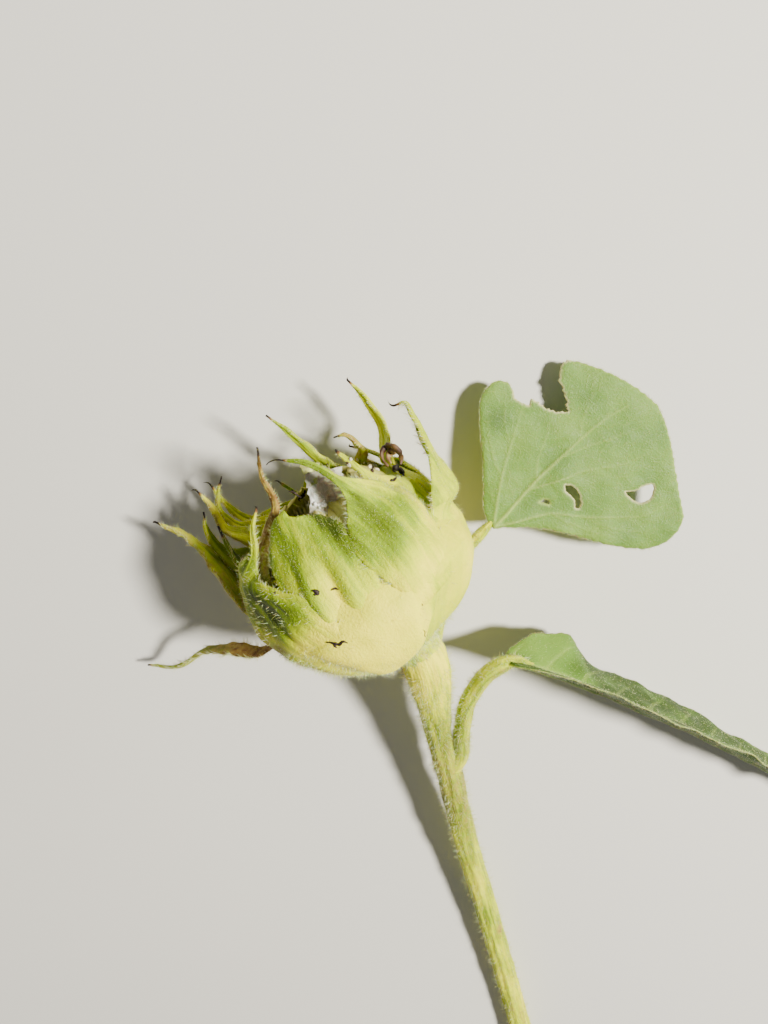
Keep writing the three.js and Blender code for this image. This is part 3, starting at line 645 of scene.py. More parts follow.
def new_material(name, **constants):
    """Material with a Principled shader whose named sockets are constants."""
    material = bpy.data.materials.new(name)
    material.use_nodes = True
    shader = material.node_tree.nodes["Principled BSDF"]
    for key, value in constants.items():
        shader.inputs[key.replace("_", " ")].default_value = value
    return material, Nodes(material.node_tree), shader


def dress(n, shader, colour, mask, rough, height, strength, distance):
    """Feeds a shader its colour, its roughness between two ends by a mask, and its bumps."""
    n.feed(shader.inputs["Base Color"], colour)
    n.feed(shader.inputs["Roughness"], n.span(mask, 0.1, 0.9, *rough))
    bump = n.add("Bump", {"Height": height, "Strength": strength, "Distance": distance})
    n.feed(shader.inputs["Normal"], bump.outputs[0])


def flesh_material(name, mottle, streaks, down, bump):
    """Green flesh of the head, bracts and stem: cream to deep green by tint, browned where dry.

    mottle: size, change of the green and strength. streaks: fineness, length and change of the green.
    down: fineness, cover and strength. bump: how high the skin's grain, its streaks and its down stand.
    """
    settings = head_settings()
    material, n, shader = new_material(name, Subsurface_Weight=0.1, Subsurface_Scale=0.8 * MM,
                                       Sheen_Weight=0.03, Sheen_Roughness=0.45, Specular_IOR_Level=0.22)
    shader.inputs["Subsurface Radius"].default_value = (1.0, 0.9, 0.35)
    place, tint, dried = n.place(), n.value("tint"), n.value("dry")
    grain = n.add("Attribute", attribute_name="grain").outputs["Vector"]
    streak = placed(n, "Long Streaks", {"Grain": grain, "Fineness": streaks[0], "Length": streaks[1]})
    patch = n.swing(n.noise(place, 0.35, 3), mottle[1])
    shifted = n.math("ADD", n.math("ADD", tint, n.swing(streak["Mask"], streaks[2])), patch)
    green = n.ramp(shifted, [(0.03, settings.cream), (0.34, settings.yellow), (0.66, settings.green),
                             (1.0, settings.deep)])
    uneven = n.swing(n.noise(place, 0.8, 4), n.math("MINIMUM", n.times(dried, 2.2), 0.9), 0.55)
    browned = n.math("ADD", dried, uneven)
    dry = n.ramp(browned, [(0.25, settings.tan), (0.6, settings.brown), (0.95, settings.black)])
    colour = n.blend(n.span(browned, 0.04, 0.42), green, dry)
    mottled = placed(n, "Soft Mottle", {"Place": place, "Colour": colour, "Size": mottle[0],
                                        "Amount": mottle[2]})
    fuzzy = placed(n, "Pale Down", {"Place": place, "Size": down[0], "Cover": down[1]})
    pale = n.blend(n.times(fuzzy["Mask"], down[2]), mottled["Colour"], (*settings.down, 1))
    skin = n.math("ADD", n.times(n.noise(place, 2.6, 4), bump[0]), n.times(fuzzy["Height"], bump[2]))
    height = n.math("ADD", n.times(streak["Height"], bump[1]), skin)
    dress(n, shader, pale, mottled["Mask"], (0.48, 0.68), height, 0.6, 0.5 * MM)
    return material


def leaf_material(name, gloss, sheen, down, net_height):
    """Blade of a leaf: grey green with paler veins by the vein value, browned where dry."""
    settings = bpy.context.scene.sunflower_leaf
    material, n, shader = new_material(name, Subsurface_Weight=0.06, Subsurface_Scale=0.6 * MM,
                                       Sheen_Weight=sheen, Sheen_Roughness=0.4, Specular_IOR_Level=gloss)
    place, vein = n.place(), (*settings.vein, 1)
    base = n.ramp(n.math("ADD", n.value("tint"), n.swing(n.noise(place, 0.18, 4), 0.45)),
                  [(0.1, settings.pale), (0.6, settings.blade), (0.95, settings.shade)])
    net = placed(n, "Vein Net", {"Place": place, "Size": 0.6, "Width": 0.07})
    netted = n.blend(n.times(net["Mask"], 0.12), base, vein)
    dried = n.blend(n.value("dry"), n.blend(n.value("vein"), netted, vein), (*settings.dried, 1))
    mottled = placed(n, "Soft Mottle", {"Place": place, "Colour": dried, "Size": 3.0, "Amount": 0.2})
    fuzzy = placed(n, "Pale Down", {"Place": place, "Size": 3.6, "Cover": 0.26})
    pale = n.blend(n.times(fuzzy["Mask"], down), mottled["Colour"], vein)
    skin = n.math("ADD", n.times(n.noise(place, 2.6, 4), 0.6), n.times(fuzzy["Height"], 0.35))
    height = n.math("ADD", n.times(net["Height"], net_height), skin)
    dress(n, shader, pale, mottled["Mask"], (0.46, 0.66), height, 0.55, 0.4 * MM)
    return material


def plain_material(name, stops, rough, **constants):
    """Small things: their colour is read from a ramp by tint, softly mottled."""
    material, n, shader = new_material(name, **constants)
    colour = n.ramp(n.value("tint"), stops)
    mottled = placed(n, "Soft Mottle", {"Place": n.place(), "Colour": colour, "Size": 5.0, "Amount": 0.35})
    dress(n, shader, mottled["Colour"], mottled["Mask"], (rough - 0.08, rough + 0.1), mottled["Mask"], 0.3,
          0.2 * MM)
    return material


def hair_material():
    """White plant hair, the same on every piece."""
    return bpy.data.materials.get("Plant Hair") or plain_material(
        "Plant Hair", [(0, head_settings().hair_colour), (1, srgb("f6f2c4"))], 0.4, Subsurface_Weight=0.3,
        Subsurface_Scale=0.2 * MM)


# Creases in the back of the head, as distances along its axis and angles, with their depths and widths
BACK_CREASES = [
    ([(1.5, 41), (-0.8, 39), (-2.2, 37), (-4.4, 34), (-6.3, 32), (-8.3, 28), (-10.7, 23)], 1.8, 1.3),
    ([(-2, -32), (-3.4, -29), (-5.4, -25), (-7.5, -22), (-9.5, -18), (-11.6, -16)], 1.4, 1.6),
    ([(1, 82), (-5, 80), (-11, 74)], 0.6, 2.4),
    ([(1, 118), (-6, 122), (-12, 130)], 0.7, 2.4),
    ([(0, 158), (-6, 162), (-12, 168)], 0.7, 2.6),
    ([(0, -158), (-6, -152), (-12, -140)], 0.7, 2.4),
    ([(0, -112), (-6, -108), (-12, -98)], 0.8, 2.2),
    ([(2, -66), (-4, -62), (-10, -56)], 0.8, 2.2),
]
CREASE_SCALE = 0.24  # millimetres that a degree round the head counts for beside them
SKIN_RADIUS = 14  # radius at which the head's unevenness and stains are read
# Edges of the main lobe of the back: distances along the head's axis, and the angles there
LOBE_RIGHT = ([-15, -13.6, -12.7, -11.7, -10.9, -10.3, -8.9, -7.5, -4.6, -2.9, -1.1],
              [-24, -9, 1, 10, 16, 22, 28, 33, 37, 39, 38])
LOBE_LEFT = ([-14, -11.6, -9.5, -7.5, -5.4, -3.4], [-16, -16, -18, -22, -25, -29])


def off_polyline(points, line):
    """Distance of points from a line of straight pieces, and the share of the line nearest to them."""
    line = np.array(line, float)
    best = np.full(points.shape[:-1], np.inf)
    share = np.zeros(points.shape[:-1])
    pieces = len(line) - 1
    for k in range(pieces):
        a, d = line[k], line[k + 1] - line[k]
        t = np.clip(((points - a) @ d) / (d @ d), 0, 1)
        off = np.linalg.norm(points - a - t[..., None] * d, axis=-1)
        near = off < best
        share = np.where(near, (k + t) / pieces, share)
        best = np.where(near, off, best)
    return best, share


def beside_lobe(along, angle):
    """Degrees by which places lie beyond the right and the left edge of the main lobe of the back."""
    return angle - np.interp(along, *LOBE_RIGHT), np.interp(along, *LOBE_LEFT) - angle


def back_relief(along, angle):
    """Soft lobes and creases of the back of the head, in millimetres."""
    height = np.zeros(np.broadcast(along, angle).shape)
    for line, depth, width in BACK_CREASES:
        line = np.array(line, float)
        middle = line[:, 1].mean()
        flat = as_grid(along, apart(angle, middle) * CREASE_SCALE)
        path = as_grid(line[:, 0], (line[:, 1] - middle) * CREASE_SCALE)
        off, share = off_polyline(flat, path)
        height -= depth * bell(off, width) * np.sin(np.pi * np.clip(share * 0.9 + 0.08, 0, 1)) ** 0.7
    right, left = beside_lobe(along, angle)
    trumpet = 4.3 + 15 * np.clip((along + 18) / 16, 0, 1) ** 1.3
    lower = np.maximum(head_radius(along) - trumpet, 0)
    height -= 0.62 * lower * smooth(right, -3, 9) * (1 - smooth(angle, 50, 80))
    height -= 0.25 * lower * smooth(left, -1, 10) * (1 - smooth(-angle, 70, 110))
    height += 1.3 * smooth(-right, -2, 10) * smooth(-left, -6, 14) * bell(along + 9.5, 5)
    height += 0.9 * bell(angle - 74, 20) * bell(along + 5, 4)
    height += np.maximum(trumpet - head_radius(along), 0) * smooth(along, -20.2, -19)
    place = head_point(along, SKIN_RADIUS, angle)
    height += 0.28 * relief(place, 7, 11) + 0.1 * relief(place, 2.6, 12)
    return height * smooth(along, -19.8, -17)


def back_tint(along, angle):
    """Depth of green over the head's back, from cream on the lobes to a yellower neck, with painted shade in
    its creases.
    """
    place = head_point(along, SKIN_RADIUS, angle)
    right, left = beside_lobe(along, angle)
    deep = smooth(-along, -1, 4)
    tint = 0.05 + 0.05 * relief(place, 8, 21) + 0.1 * smooth(along, -4, 3)
    tint = tint + 0.24 * smooth(right, -1, 5) * (1 - smooth(angle, 95, 140)) * deep
    # painted shade: greener lines along the creases at both edges of the main lobe
    tint = tint + 0.14 * bell(right - 1, 3.5) * deep + 0.12 * bell(left - 1, 4) * deep
    # greener under-lobe beyond the main lobe's left edge: partly its own olive, partly painted shade
    tint = tint + 0.22 * smooth(left, 0, 12) * (1 - smooth(-angle, 80, 130))
    tint = tint - 0.2 * bell(angle - 74, 13) * bell(along + 5, 5)
    # greener patch beneath the lowest bract: brown hair bases, partly painted shade
    tint = (tint + 0.34 * bell(angle + 50, 10) * bell(along + 0.5, 5)
            + 0.2 * bell(angle + 46, 13) * bell(along + 8.3, 3))
    streaks = as_grid(4 * np.cos(np.radians(angle)), 4 * np.sin(np.radians(angle)), 0.1 * along)
    tint = tint + (0.08 + 0.12 * relief(streaks, 0.9, 22)) * smooth(along, -11, -17)
    return tint + 0.16 * bell(apart(angle, 180), 70)


def back_dry(along, angle):
    """Brownness over the head's back: a rim low on the left and, partly as painted shade, a browner under-lobe
    and a patch beneath the lowest bract.
    """
    left, low = bell(apart(angle, -80), 26), bell(apart(angle, -62), 30)
    # darker, browner patch beneath the lowest bract: brown hair bases, partly painted shade
    hair_bases_and_shade = 0.2 * bell(angle + 50, 11) * bell(along + 0.5, 5)
    hair_bases_and_shade = hair_bases_and_shade + 0.24 * bell(angle + 46, 16) * bell(along + 8, 3)
    # the low term browns that under-lobe, partly its own olive brown, partly painted shade
    return 0.3 * left * smooth(along, -9, 1) + 0.12 * low * smooth(-along, 2, 6) + hair_bases_and_shade + 0.03


# How a bract narrows: its width at the base, how much it swells, the share of its length at which that ends,
# its width at the tip and the shares between which it narrows to that
OUTLINES = {
    "pointed": (0.68, 0.32, 0.66, 0.14, 0.3, 0.75),
    "ovate": (0.68, 0.32, 0.66, 0.14, 0.4, 0.8),
    "lance": (0.8, 0.2, 1, 0.25, 0.2, 0.75),
    "broad": (0.84, 0.16, 0.5, 0.1, 0.3, 0.75),
    "blunt": (0.88, 0.12, 0.8, 0.72, 0.7, 1),
}
BRACT_BASE = SHOULDER + 0.9
DROOP_BASE = 3.5  # how far before it leaves the head the drooping bract has its base
BASE_RUN = 3.2  # how far behind its packed base a bract begins, hidden in the head
BRACT_DEPTH = 0.45  # how far the middle of an outer bract lies inside the head's profile
LAYER_GAP = 1.2  # from one ring of bracts in to the next
THREAD_HALF = 0.3  # least half width of a bract that ends in a thread
LASHES = 1.7  # hairs on each margin of a bract to each of its rows
LASH_THICK = 0.032


def bract_radius(bract, along):
    """Radius at which a bract hugs the head."""
    return head_radius(along) - BRACT_DEPTH - LAYER_GAP * bract["layer"]


def bract_line(bract):
    """Line that a bract follows, the place of its base and the share at which it leaves the head."""
    base = bract["leaves"] - DROOP_BASE if bract["layer"] < 0 else BRACT_BASE
    share = np.linspace(0, 1, 4)
    along = mix(base, bract["leaves"], share)
    hug = head_point(along, bract_radius(bract, along), bract["at"] + bract["drift"] * share)
    line = Line(np.vstack([hug, bract["free"]]))
    return line, base, line.knot(3)


def bract_spine(bract, shares):
    """Middle line of a bract, its directions, the way its back looks, its length and how loose it is."""
    line, base, leaving = bract_line(bract)
    inside = np.clip(shares, 0, 1)
    spine, way = line.at(inside), line.way(inside)
    back = base + shares * line.length
    spine = np.where((shares < 0)[:, None], head_point(back, bract_radius(bract, back), bract["at"]), spine)
    facing = line.at(np.minimum(inside, 0.62)) - HEAD_CENTRE
    facing = facing - (facing @ AXIS)[:, None] * AXIS
    if "facing" in bract:
        facing = np.broadcast_to(bract["facing"], facing.shape)
    facing = unit(facing - way * (facing * way).sum(-1, keepdims=True))
    facing = turned_about(facing, way, np.radians(bract["twist"]) * smooth(inside, 0.35, 0.8))
    if bract["thread"]:
        over = np.maximum(shares - 1, 0)[:, None] * line.length / bract["thread"]
        lean = unit(facing[-1] * bract["curl"][0] + np.cross(way[-1], facing[-1]) * bract["curl"][1])
        bend = np.hypot(*bract["curl"]) * 1.6
        run = bract["thread"] / bend
        curled = way[-1] * (np.sin(over * bend) * run) + lean * ((1 - np.cos(over * bend)) * run)
        spine = spine + np.where(over > 0, curled, 0)
    return spine, way, facing, line.length, smooth(shares[:, None], leaving - 0.08, leaving + 0.26)


def bract_half(bract, shares):
    """Half width of a bract along its length."""
    inside = np.clip(shares, 0, 1)
    base, swell, swollen, tip, start, stop = OUTLINES[bract["outline"]]
    swelling = base + swell * np.sin(np.pi * np.clip(inside / swollen, 0, 1))
    half = bract["half"] * (swelling * mix(1, tip, smooth(inside, start, stop)))
    if bract["thread"]:
        half = np.maximum(half * (1 - inside ** 6), THREAD_HALF)
        half = half * mix(1, 0.35, smooth(shares, 0.93, 1.0)) * mix(1, 0.45, smooth(shares, 1, 1.1))
    else:
        half = half * np.sqrt(np.clip(1 - inside ** 22, 0.002, 1))
    return half * mix(1, 0.82, smooth(-shares, 0, 0.1))


def bract_lift(bract, s, x, local, seed):
    """How far the skin of a bract stands out: uneven, over its midrib, at its swellings and bent margins."""
    body = (1 - np.abs(x) ** 2.5) * smooth(s, -0.05, 0.12) * (1 - smooth(s, 0.6, 0.95))
    lift = body * 0.2 * relief(local, 2.3, seed) + 0.06 * relief(local, 0.9, seed + 1) * smooth(s, 0, 0.2)
    lift = lift * min(1, bract["half"] / 6)
    lift = lift + 0.16 * bell(x, 0.1) * smooth(s, 0.12, 0.4) * (1 - smooth(s, 0.85, 1))
    for where, beside, length, width, height in bract["bumps"]:
        lift = lift + height * bell(s - where, length) * bell(x - beside, width) * body
    if bract["layer"] == 0:
        lift = lift - 0.5 * np.abs(x) ** 3 * smooth(s, 0.05, 0.2) * (1 - smooth(s, 0.4, 0.62))
    for side, where, length, depth in bract["tucks"]:
        lift = lift - depth * np.clip(x * side, 0, 1) ** 1.6 * bell(s - where, length)
    return lift


def bract_faces(bract, shares, x, outer):
    """Grid of points over one face of a bract, its reach across and its length. outer: it is the back."""
    spine, way, facing, length, loosened = bract_spine(bract, shares)
    half = bract_half(bract, shares)
    s, x, inside = shares[:, None], x[None], np.clip(shares, 0, 1)
    seed = 100 + 7 * BRACTS.index(bract)
    edge = as_grid(s * length, np.sign(x) * 9)
    wave = bract["wave"] * np.abs(x) ** 3 * relief(edge, 2.2, seed)
    wave = wave * smooth(s, 0.08, 0.3) * (s < 0.95)
    reach = x * half[:, None] * (1 + 0.018 * relief(edge, 0.7, seed + 1))
    thick = 0.5 * mix(0.9, 0.5, inside)[:, None] * np.sqrt(np.clip(1 - x ** 4, 0, 1)) + 0.07
    thick = thick * mix(1, 0.5, smooth(s, 0.85, 1.0)) + 0.02
    lift = bract_lift(bract, s, x, as_grid(reach, s * length * 0.33), seed + 2)
    sunk, risen = (-0.75, 0.06) if bract["layer"] >= 0 else (-4.2, 0.15)
    rise = (thick if outer else -thick) + lift + wave + mix(sunk, 0, smooth(s, -0.07, risen))
    along, radius, angle = (value[:, None] for value in head_place(spine))
    hugging = head_point(along, radius + rise, angle + np.degrees(reach / radius))
    bend = mix(HEAD_RADIUS, np.maximum(1.2, half * 0.9), smooth(inside, 0.45, 0.85))[:, None]
    bend = np.maximum(bend, half[:, None] * 0.9)
    across = np.cross(way, facing)
    loose = (spine[:, None] + across[:, None] * ((bend + rise) * np.sin(reach / bend))[..., None]
             + facing[:, None] * ((bend + rise) * np.cos(reach / bend) - bend)[..., None])
    slid = way[:, None] * (bract["slant"] * x * smooth(s, 0.5, 1.0))[..., None]
    return mix(hugging, loose, loosened[..., None]) - slid, reach, length


def both_faces(outer, inner):
    """Grids of two faces of a sheet as rings round it."""
    return np.concatenate([outer, inner[:, ::-1]], 1)


def bract_body(bract):
    """Closed body of a bract, with the grid of its back, and the shares and places across of that."""
    length = bract_line(bract)[0].length
    shares = np.linspace(-BASE_RUN / length, 1, max(40, int(length / 0.36)))
    if bract["thread"]:
        shares = np.concatenate([shares, np.linspace(1, 1 + bract["thread"] / length, 15)[1:]])
    u = np.linspace(-1, 1, max(13, int(2 * bract["half"] / 0.42) | 1))
    places = 0.72 * u + 0.28 * np.sin(u * np.pi / 2)
    outer, reach, length = bract_faces(bract, shares, places, True)
    inner = bract_faces(bract, shares, places, False)[0]
    s, x = shares[:, None], places[None]
    along, _, angle = head_place(outer)
    own = mix(bract["green"], bract["tip"], smooth(s, 0.45, 0.85))
    own = own + 0.1 * relief(as_grid(reach, s * length * 0.3), 3, 300 + BRACTS.index(bract))
    tint = mix(back_tint(along, angle), own, smooth(s, 0.0, 0.34) * mix(1, 0.85, np.abs(x)))
    dry = mix(back_dry(along, angle), bract["dry"], smooth(s, 0.05, 0.75))
    # lower_left is paled round its hollow, so its deep green middle stands there: partly its own green, partly
    # painted shade
    if bract["name"] == "lower_left":
        halo = smooth(np.hypot((s - 0.32) / 0.3, (x - 0.3) / 0.75), 0.4, 1.0)
        tint = tint - 0.42 * halo * smooth(s, 0.02, 0.2) * (1 - smooth(s, 0.5, 0.7))
    if bract["name"] == "front_right":
        # deeper green streak in the hollow across its middle: partly its own green, partly painted shade
        tint = tint + 0.16 * bell(x - 0.12, 0.13) * bell(s - 0.4, 0.1)
        tint = tint + 0.2 * bell(x + 0.55, 0.6) * smooth(s, 0.08, 0.26) * (1 - smooth(s, 0.75, 0.9))
        tint = tint - 0.26 * smooth(x, 0.42, 0.75) * smooth(s, 0.1, 0.2) * (1 - smooth(s, 0.5, 0.7))
    if bract["name"] == "front_left":
        # painted shade: deeper green on the side that lies under the front-right bract's margin
        tint = tint + 0.34 * smooth(x, 0.42, 0.8) * smooth(s, 0.3, 0.55)
        tint = tint - 0.2 * bell(x - 0.1, 0.16) * bell(s - 0.32, 0.2)
        tint = tint + 0.16 * bell(x + 0.3, 0.1) * bell(s - 0.5, 0.3)
    if bract["name"] == "droop":
        dry = dry + 0.35 * smooth(s, 0.02, 0.1) * (1 - smooth(s, 0.25, 0.5)) - 0.12 * smooth(s, 0.5, 0.8)
    dry = dry + 0.1 * np.abs(x) ** 6 * smooth(s, 0.3, 0.6)
    dry = np.maximum(dry, 1.1 * smooth(s, bract["dark"] - 0.035, bract["dark"] + 0.012))
    grain = as_grid(reach, 0.2 * np.sign(x), s * length)
    values = {"tint": both_faces(tint, np.clip(tint + 0.12, 0, 1)), "dry": both_faces(dry, dry),
              "grain": both_faces(grain, grain + [0, 3, 0])}
    return loft(both_faces(outer, inner), values), outer, shares, places


def bract_hairs(bract, outer, shares, x, rng, long_share, count_share):
    """Down on a bract's back and the hairs along its margins."""
    normals = grid_normals(outer)
    middle = len(outer) // 3, len(x) // 2
    if normals[middle] @ np.array(bract.get("facing", outer[middle] - HEAD_CENTRE)) < 0:
        normals = -normals
    s = shares[:, None]
    weight = smooth(s, 0.04, 0.25) * (1 - smooth(s, 0.93, 1.0)) * mix(0.8, 1.4, np.abs(x[None]))
    count = max(60, int(bract["fuzz"] * count_share))
    thick = 0.017 + 0.012 * min(1, bract["long"])
    parts = [fuzz(outer, normals, weight, count, bract["long"] * long_share, rng, thick)]
    across = unit(np.gradient(outer, axis=1))
    rows = np.flatnonzero((shares > 0.1) & (shares < 0.97))
    number = int(len(outer) * LASHES)
    for end, sign in ((0, -1), (len(x) - 1, 1)):
        pick = rng.choice(rows, number)
        out, back = across[pick, end] * sign, normals[pick, end]
        along = unit(np.gradient(outer[:, end], axis=0))[pick]
        spread = rng.normal(0, 0.3, (number, 3))
        ways = unit(out + back * rng.uniform(-0.3, 0.8, (number, 1)) + along * 0.5 + spread)
        size = bract["lash"] * long_share * rng.uniform(0.5, 1.3, number)
        bend = along * 0.25 + spread * 0.4
        parts.append(hairs(outer[pick, end], ways, size, np.full(number, LASH_THICK), bend, rng))
    return joined(parts)


COLOUR = dict(subtype="COLOR", size=3, min=0, max=1)


class HeadSettings(bpy.types.PropertyGroup):
    """Colours and hair of the flower head."""

    cream: FloatVectorProperty(name="Cream", description="Palest flesh, on the lobes of the back",
                               default=srgb("f9ee38"), **COLOUR)
    yellow: FloatVectorProperty(name="Yellow Green", description="Flesh between cream and green",
                                default=srgb("ccd804"), **COLOUR)
    green: FloatVectorProperty(name="Green", description="Green of the bracts",
                               default=srgb("83a000"), **COLOUR)
    # also the middle of the lower_left bract, where it is partly painted shade
    deep: FloatVectorProperty(name="Deep Green", description="Deepest green of the bracts",
                              default=srgb("3a4a00"), **COLOUR)
    tan: FloatVectorProperty(name="Tan", description="Flesh that begins to dry",
                             default=srgb("b39b4a"), **COLOUR)
    brown: FloatVectorProperty(name="Brown", description="Dried flesh",
                               default=srgb("7a5526"), **COLOUR)
    black: FloatVectorProperty(name="Dried Tips", description="Dried up tips of the bracts",
                               default=srgb("1c1210"), **COLOUR)
    down: FloatVectorProperty(name="Down", description="Short pale down",
                              default=srgb("eeee78"), **COLOUR)
    hair_colour: FloatVectorProperty(name="Hair", description="Longer hairs",
                                     default=srgb("b4c04c"), **COLOUR)
    hair_length: FloatProperty(name="Hair Length", description="Length of the hairs, as a share of the usual",
                               default=1.0, min=0.1, max=3, subtype="FACTOR")
    hair_count: FloatProperty(name="Hair Count", description="Number of hairs on the bracts, as a share",
                              default=1.0, min=0.05, max=2, subtype="FACTOR")


class StemSettings(bpy.types.PropertyGroup):
    """Size and hair of the stem and stalks."""

    radius: FloatProperty(name="Radius", description="Radius of the bare stem", default=2.55 * MM,
                          min=0.001, max=0.01, unit="LENGTH")
    rib_height: FloatProperty(name="Rib Height", description="Height of the ribs along the stem",
                              default=0.09 * MM, min=0, max=0.001, unit="LENGTH")
    hair_length: FloatProperty(name="Hair Length", description="Length of the stiff hairs",
                               default=1.4 * MM, min=0, max=0.004, unit="LENGTH")


class LeafSettings(bpy.types.PropertyGroup):
    """Colours of the two leaves."""

    pale: FloatVectorProperty(name="Pale Green", description="Palest part of a blade",
                              default=srgb("7d9c3c"), **COLOUR)
    blade: FloatVectorProperty(name="Blade", description="Green of the underside of the blades",
                               default=srgb("608430"), **COLOUR)
    # the folded leaf's blade reads close to this, partly as painted shade
    shade: FloatVectorProperty(name="Deep Green", description="Greenest part of a blade",
                               default=srgb("2e4710"), **COLOUR)
    vein: FloatVectorProperty(name="Veins", description="Veins and hairy margins",
                              default=srgb("a0b45c"), **COLOUR)
    dried: FloatVectorProperty(name="Dried Edge", description="Dried edges of chewed places",
                               default=srgb("d8cca0"), **COLOUR)


class StageSettings(bpy.types.PropertyGroup):
    """Floor and light."""

    floor: FloatVectorProperty(name="Floor", description="Colour of the floor",
                               default=srgb("dcdad4"), **COLOUR)
    key: FloatProperty(name="Key Light", description="Power of the main light",
                       default=17.5, min=0, unit="POWER")
    fill: FloatProperty(name="Fill Light", description="Power of the light from the left",
                        default=0.25, min=0, unit="POWER")
    sky: FloatProperty(name="Sky", description="Strength of the light all round", default=0.17, min=0,
                       subtype="FACTOR")


class SUNFLOWER_OT_receptacle(bpy.types.Operator):
    """Draws the smooth back of the head with its neck, and the floor of the mouth"""

    bl_idname = "sunflower.receptacle"
    bl_label = "Receptacle"

    def execute(self, context):
        settings = head_settings()
        back = mix(NECK_END, -4, np.linspace(0, 1, 84) ** 0.85)
        along = np.concatenate([back, np.linspace(-4, MOUTH_FLOOR + 0.2, 60)[1:]])
        a, g = along[:, None], np.linspace(-180, 180, 300, endpoint=False)[None]
        radius = head_radius(a) - CORE_INSET * smooth(a, SHOULDER, 9.5) + back_relief(a, g)
        radius = radius - 0.25 * smooth(-a, 19, 19.8)
        skin = head_point(a, radius, g)
        inward = np.linspace(1, 0.04, 26)[1:, None] ** 0.9
        dish = MOUTH_FLOOR + 0.2 - MOUTH_DISH * (1 - inward ** 2)
        rings = np.concatenate([skin, head_point(dish, radius[-1:] * inward, g)])
        heights = np.concatenate([a, dish])
        tint = np.broadcast_to(back_tint(heights, g), rings.shape[:2]).copy()
        tint[len(along):] = 0.5
        grain = as_grid(SKIN_RADIUS * np.cos(np.radians(g)), SKIN_RADIUS * np.sin(np.radians(g)), heights)
        flesh = flesh_material("Smooth Back", mottle=(2.4, 0.16, 0.16), streaks=(0.7, 0.15, 0.1),
                               down=(2.0, 0.16, 0.16), bump=(0.7, 0.35, 0.2))
        body = loft(rings, {"tint": tint, "dry": back_dry(heights, g), "grain": grain})
        add_piece("receptacle_back", body, flesh, "receptacle")
        rng = np.random.default_rng(SEEDS["receptacle"])
        normals = unit(skin - HEAD_CENTRE - (a - 2)[..., None] * AXIS * 0.4)
        neck = smooth(-a, 11, 17)
        left = bell(apart(g, -70), 45)
        low = smooth(np.abs(g), 60, 120) + 0.2
        beneath = bell(g + 48, 20) * bell(a + 4, 5)
        short = (0.12 + 1.6 * neck + 1.3 * left + 1.6 * beneath) * (1 - smooth(a, 2, 6))
        tall = (neck * 1.4 + 0.1 * low + 0.9 * beneath) * (1 - smooth(a, 0, 3))
        parts = []
        for weight, count, length, thick, lean in ((short, 5200, 0.6, 0.024, 0.2),
                                                   (tall, 2400, 1.15, 0.03, 0.1)):
            length = length * settings.hair_length
            parts.append(fuzz(skin[::-1], normals[::-1], weight[::-1], count, length, rng, thick, lean))
        add_piece("receptacle_hairs", joined(parts), hair_material())
        return {"FINISHED"}


MOST_HAIR_POINTS = 110000  # when a piece of hairs holds more points than this, the next piece is begun


class SUNFLOWER_OT_bracts(bpy.types.Operator):
    """Draws the bracts with their down"""

    bl_idname = "sunflower.bracts"
    bl_label = "Bracts"

    def execute(self, context):
        settings = head_settings()
        flesh = flesh_material("Bract Flesh", mottle=(3.0, 0.22, 0.3), streaks=(0.9, 0.1, 0.22),
                               down=(3.4, 0.24, 0.5), bump=(1.0, 0.9, 0.5))
        rng = np.random.default_rng(SEEDS["bracts"])
        down, held = [], 0
        for bract in BRACTS:
            body, outer, shares, x = bract_body(bract)
            add_piece("bract_" + bract["name"] + "_blade", body, flesh, "bract_" + bract["name"])
            down.append(bract_hairs(bract, outer, shares, x, rng, settings.hair_length, settings.hair_count))
            held += len(down[-1][0])
            if held > MOST_HAIR_POINTS or bract is BRACTS[-1]:
                add_piece("bract_hairs_" + bract["name"], joined(down), hair_material())
                down, held = [], 0
        return {"FINISHED"}


FLORETS = 430
FLORET_TURN = 137.508  # degrees from one floret to the next
FLORET_WIDTHS = np.array([0.5, 0.54, 0.5, 0.5, 0.42, 0.24, 0.05])
FLORET_SHADES = [(0, srgb("6e7a30")), (0.5, srgb("b9bd62")), (0.85, srgb("d8cf8a")), (1, srgb("6a4a22"))]
PETALS = 34
PETAL_ROWS = 22
PETAL_HALF = 1.25
PETAL_SHADES = [(0, srgb("8f9a3c")), (0.5, srgb("c9c95a")), (1, srgb("e6dc7a"))]


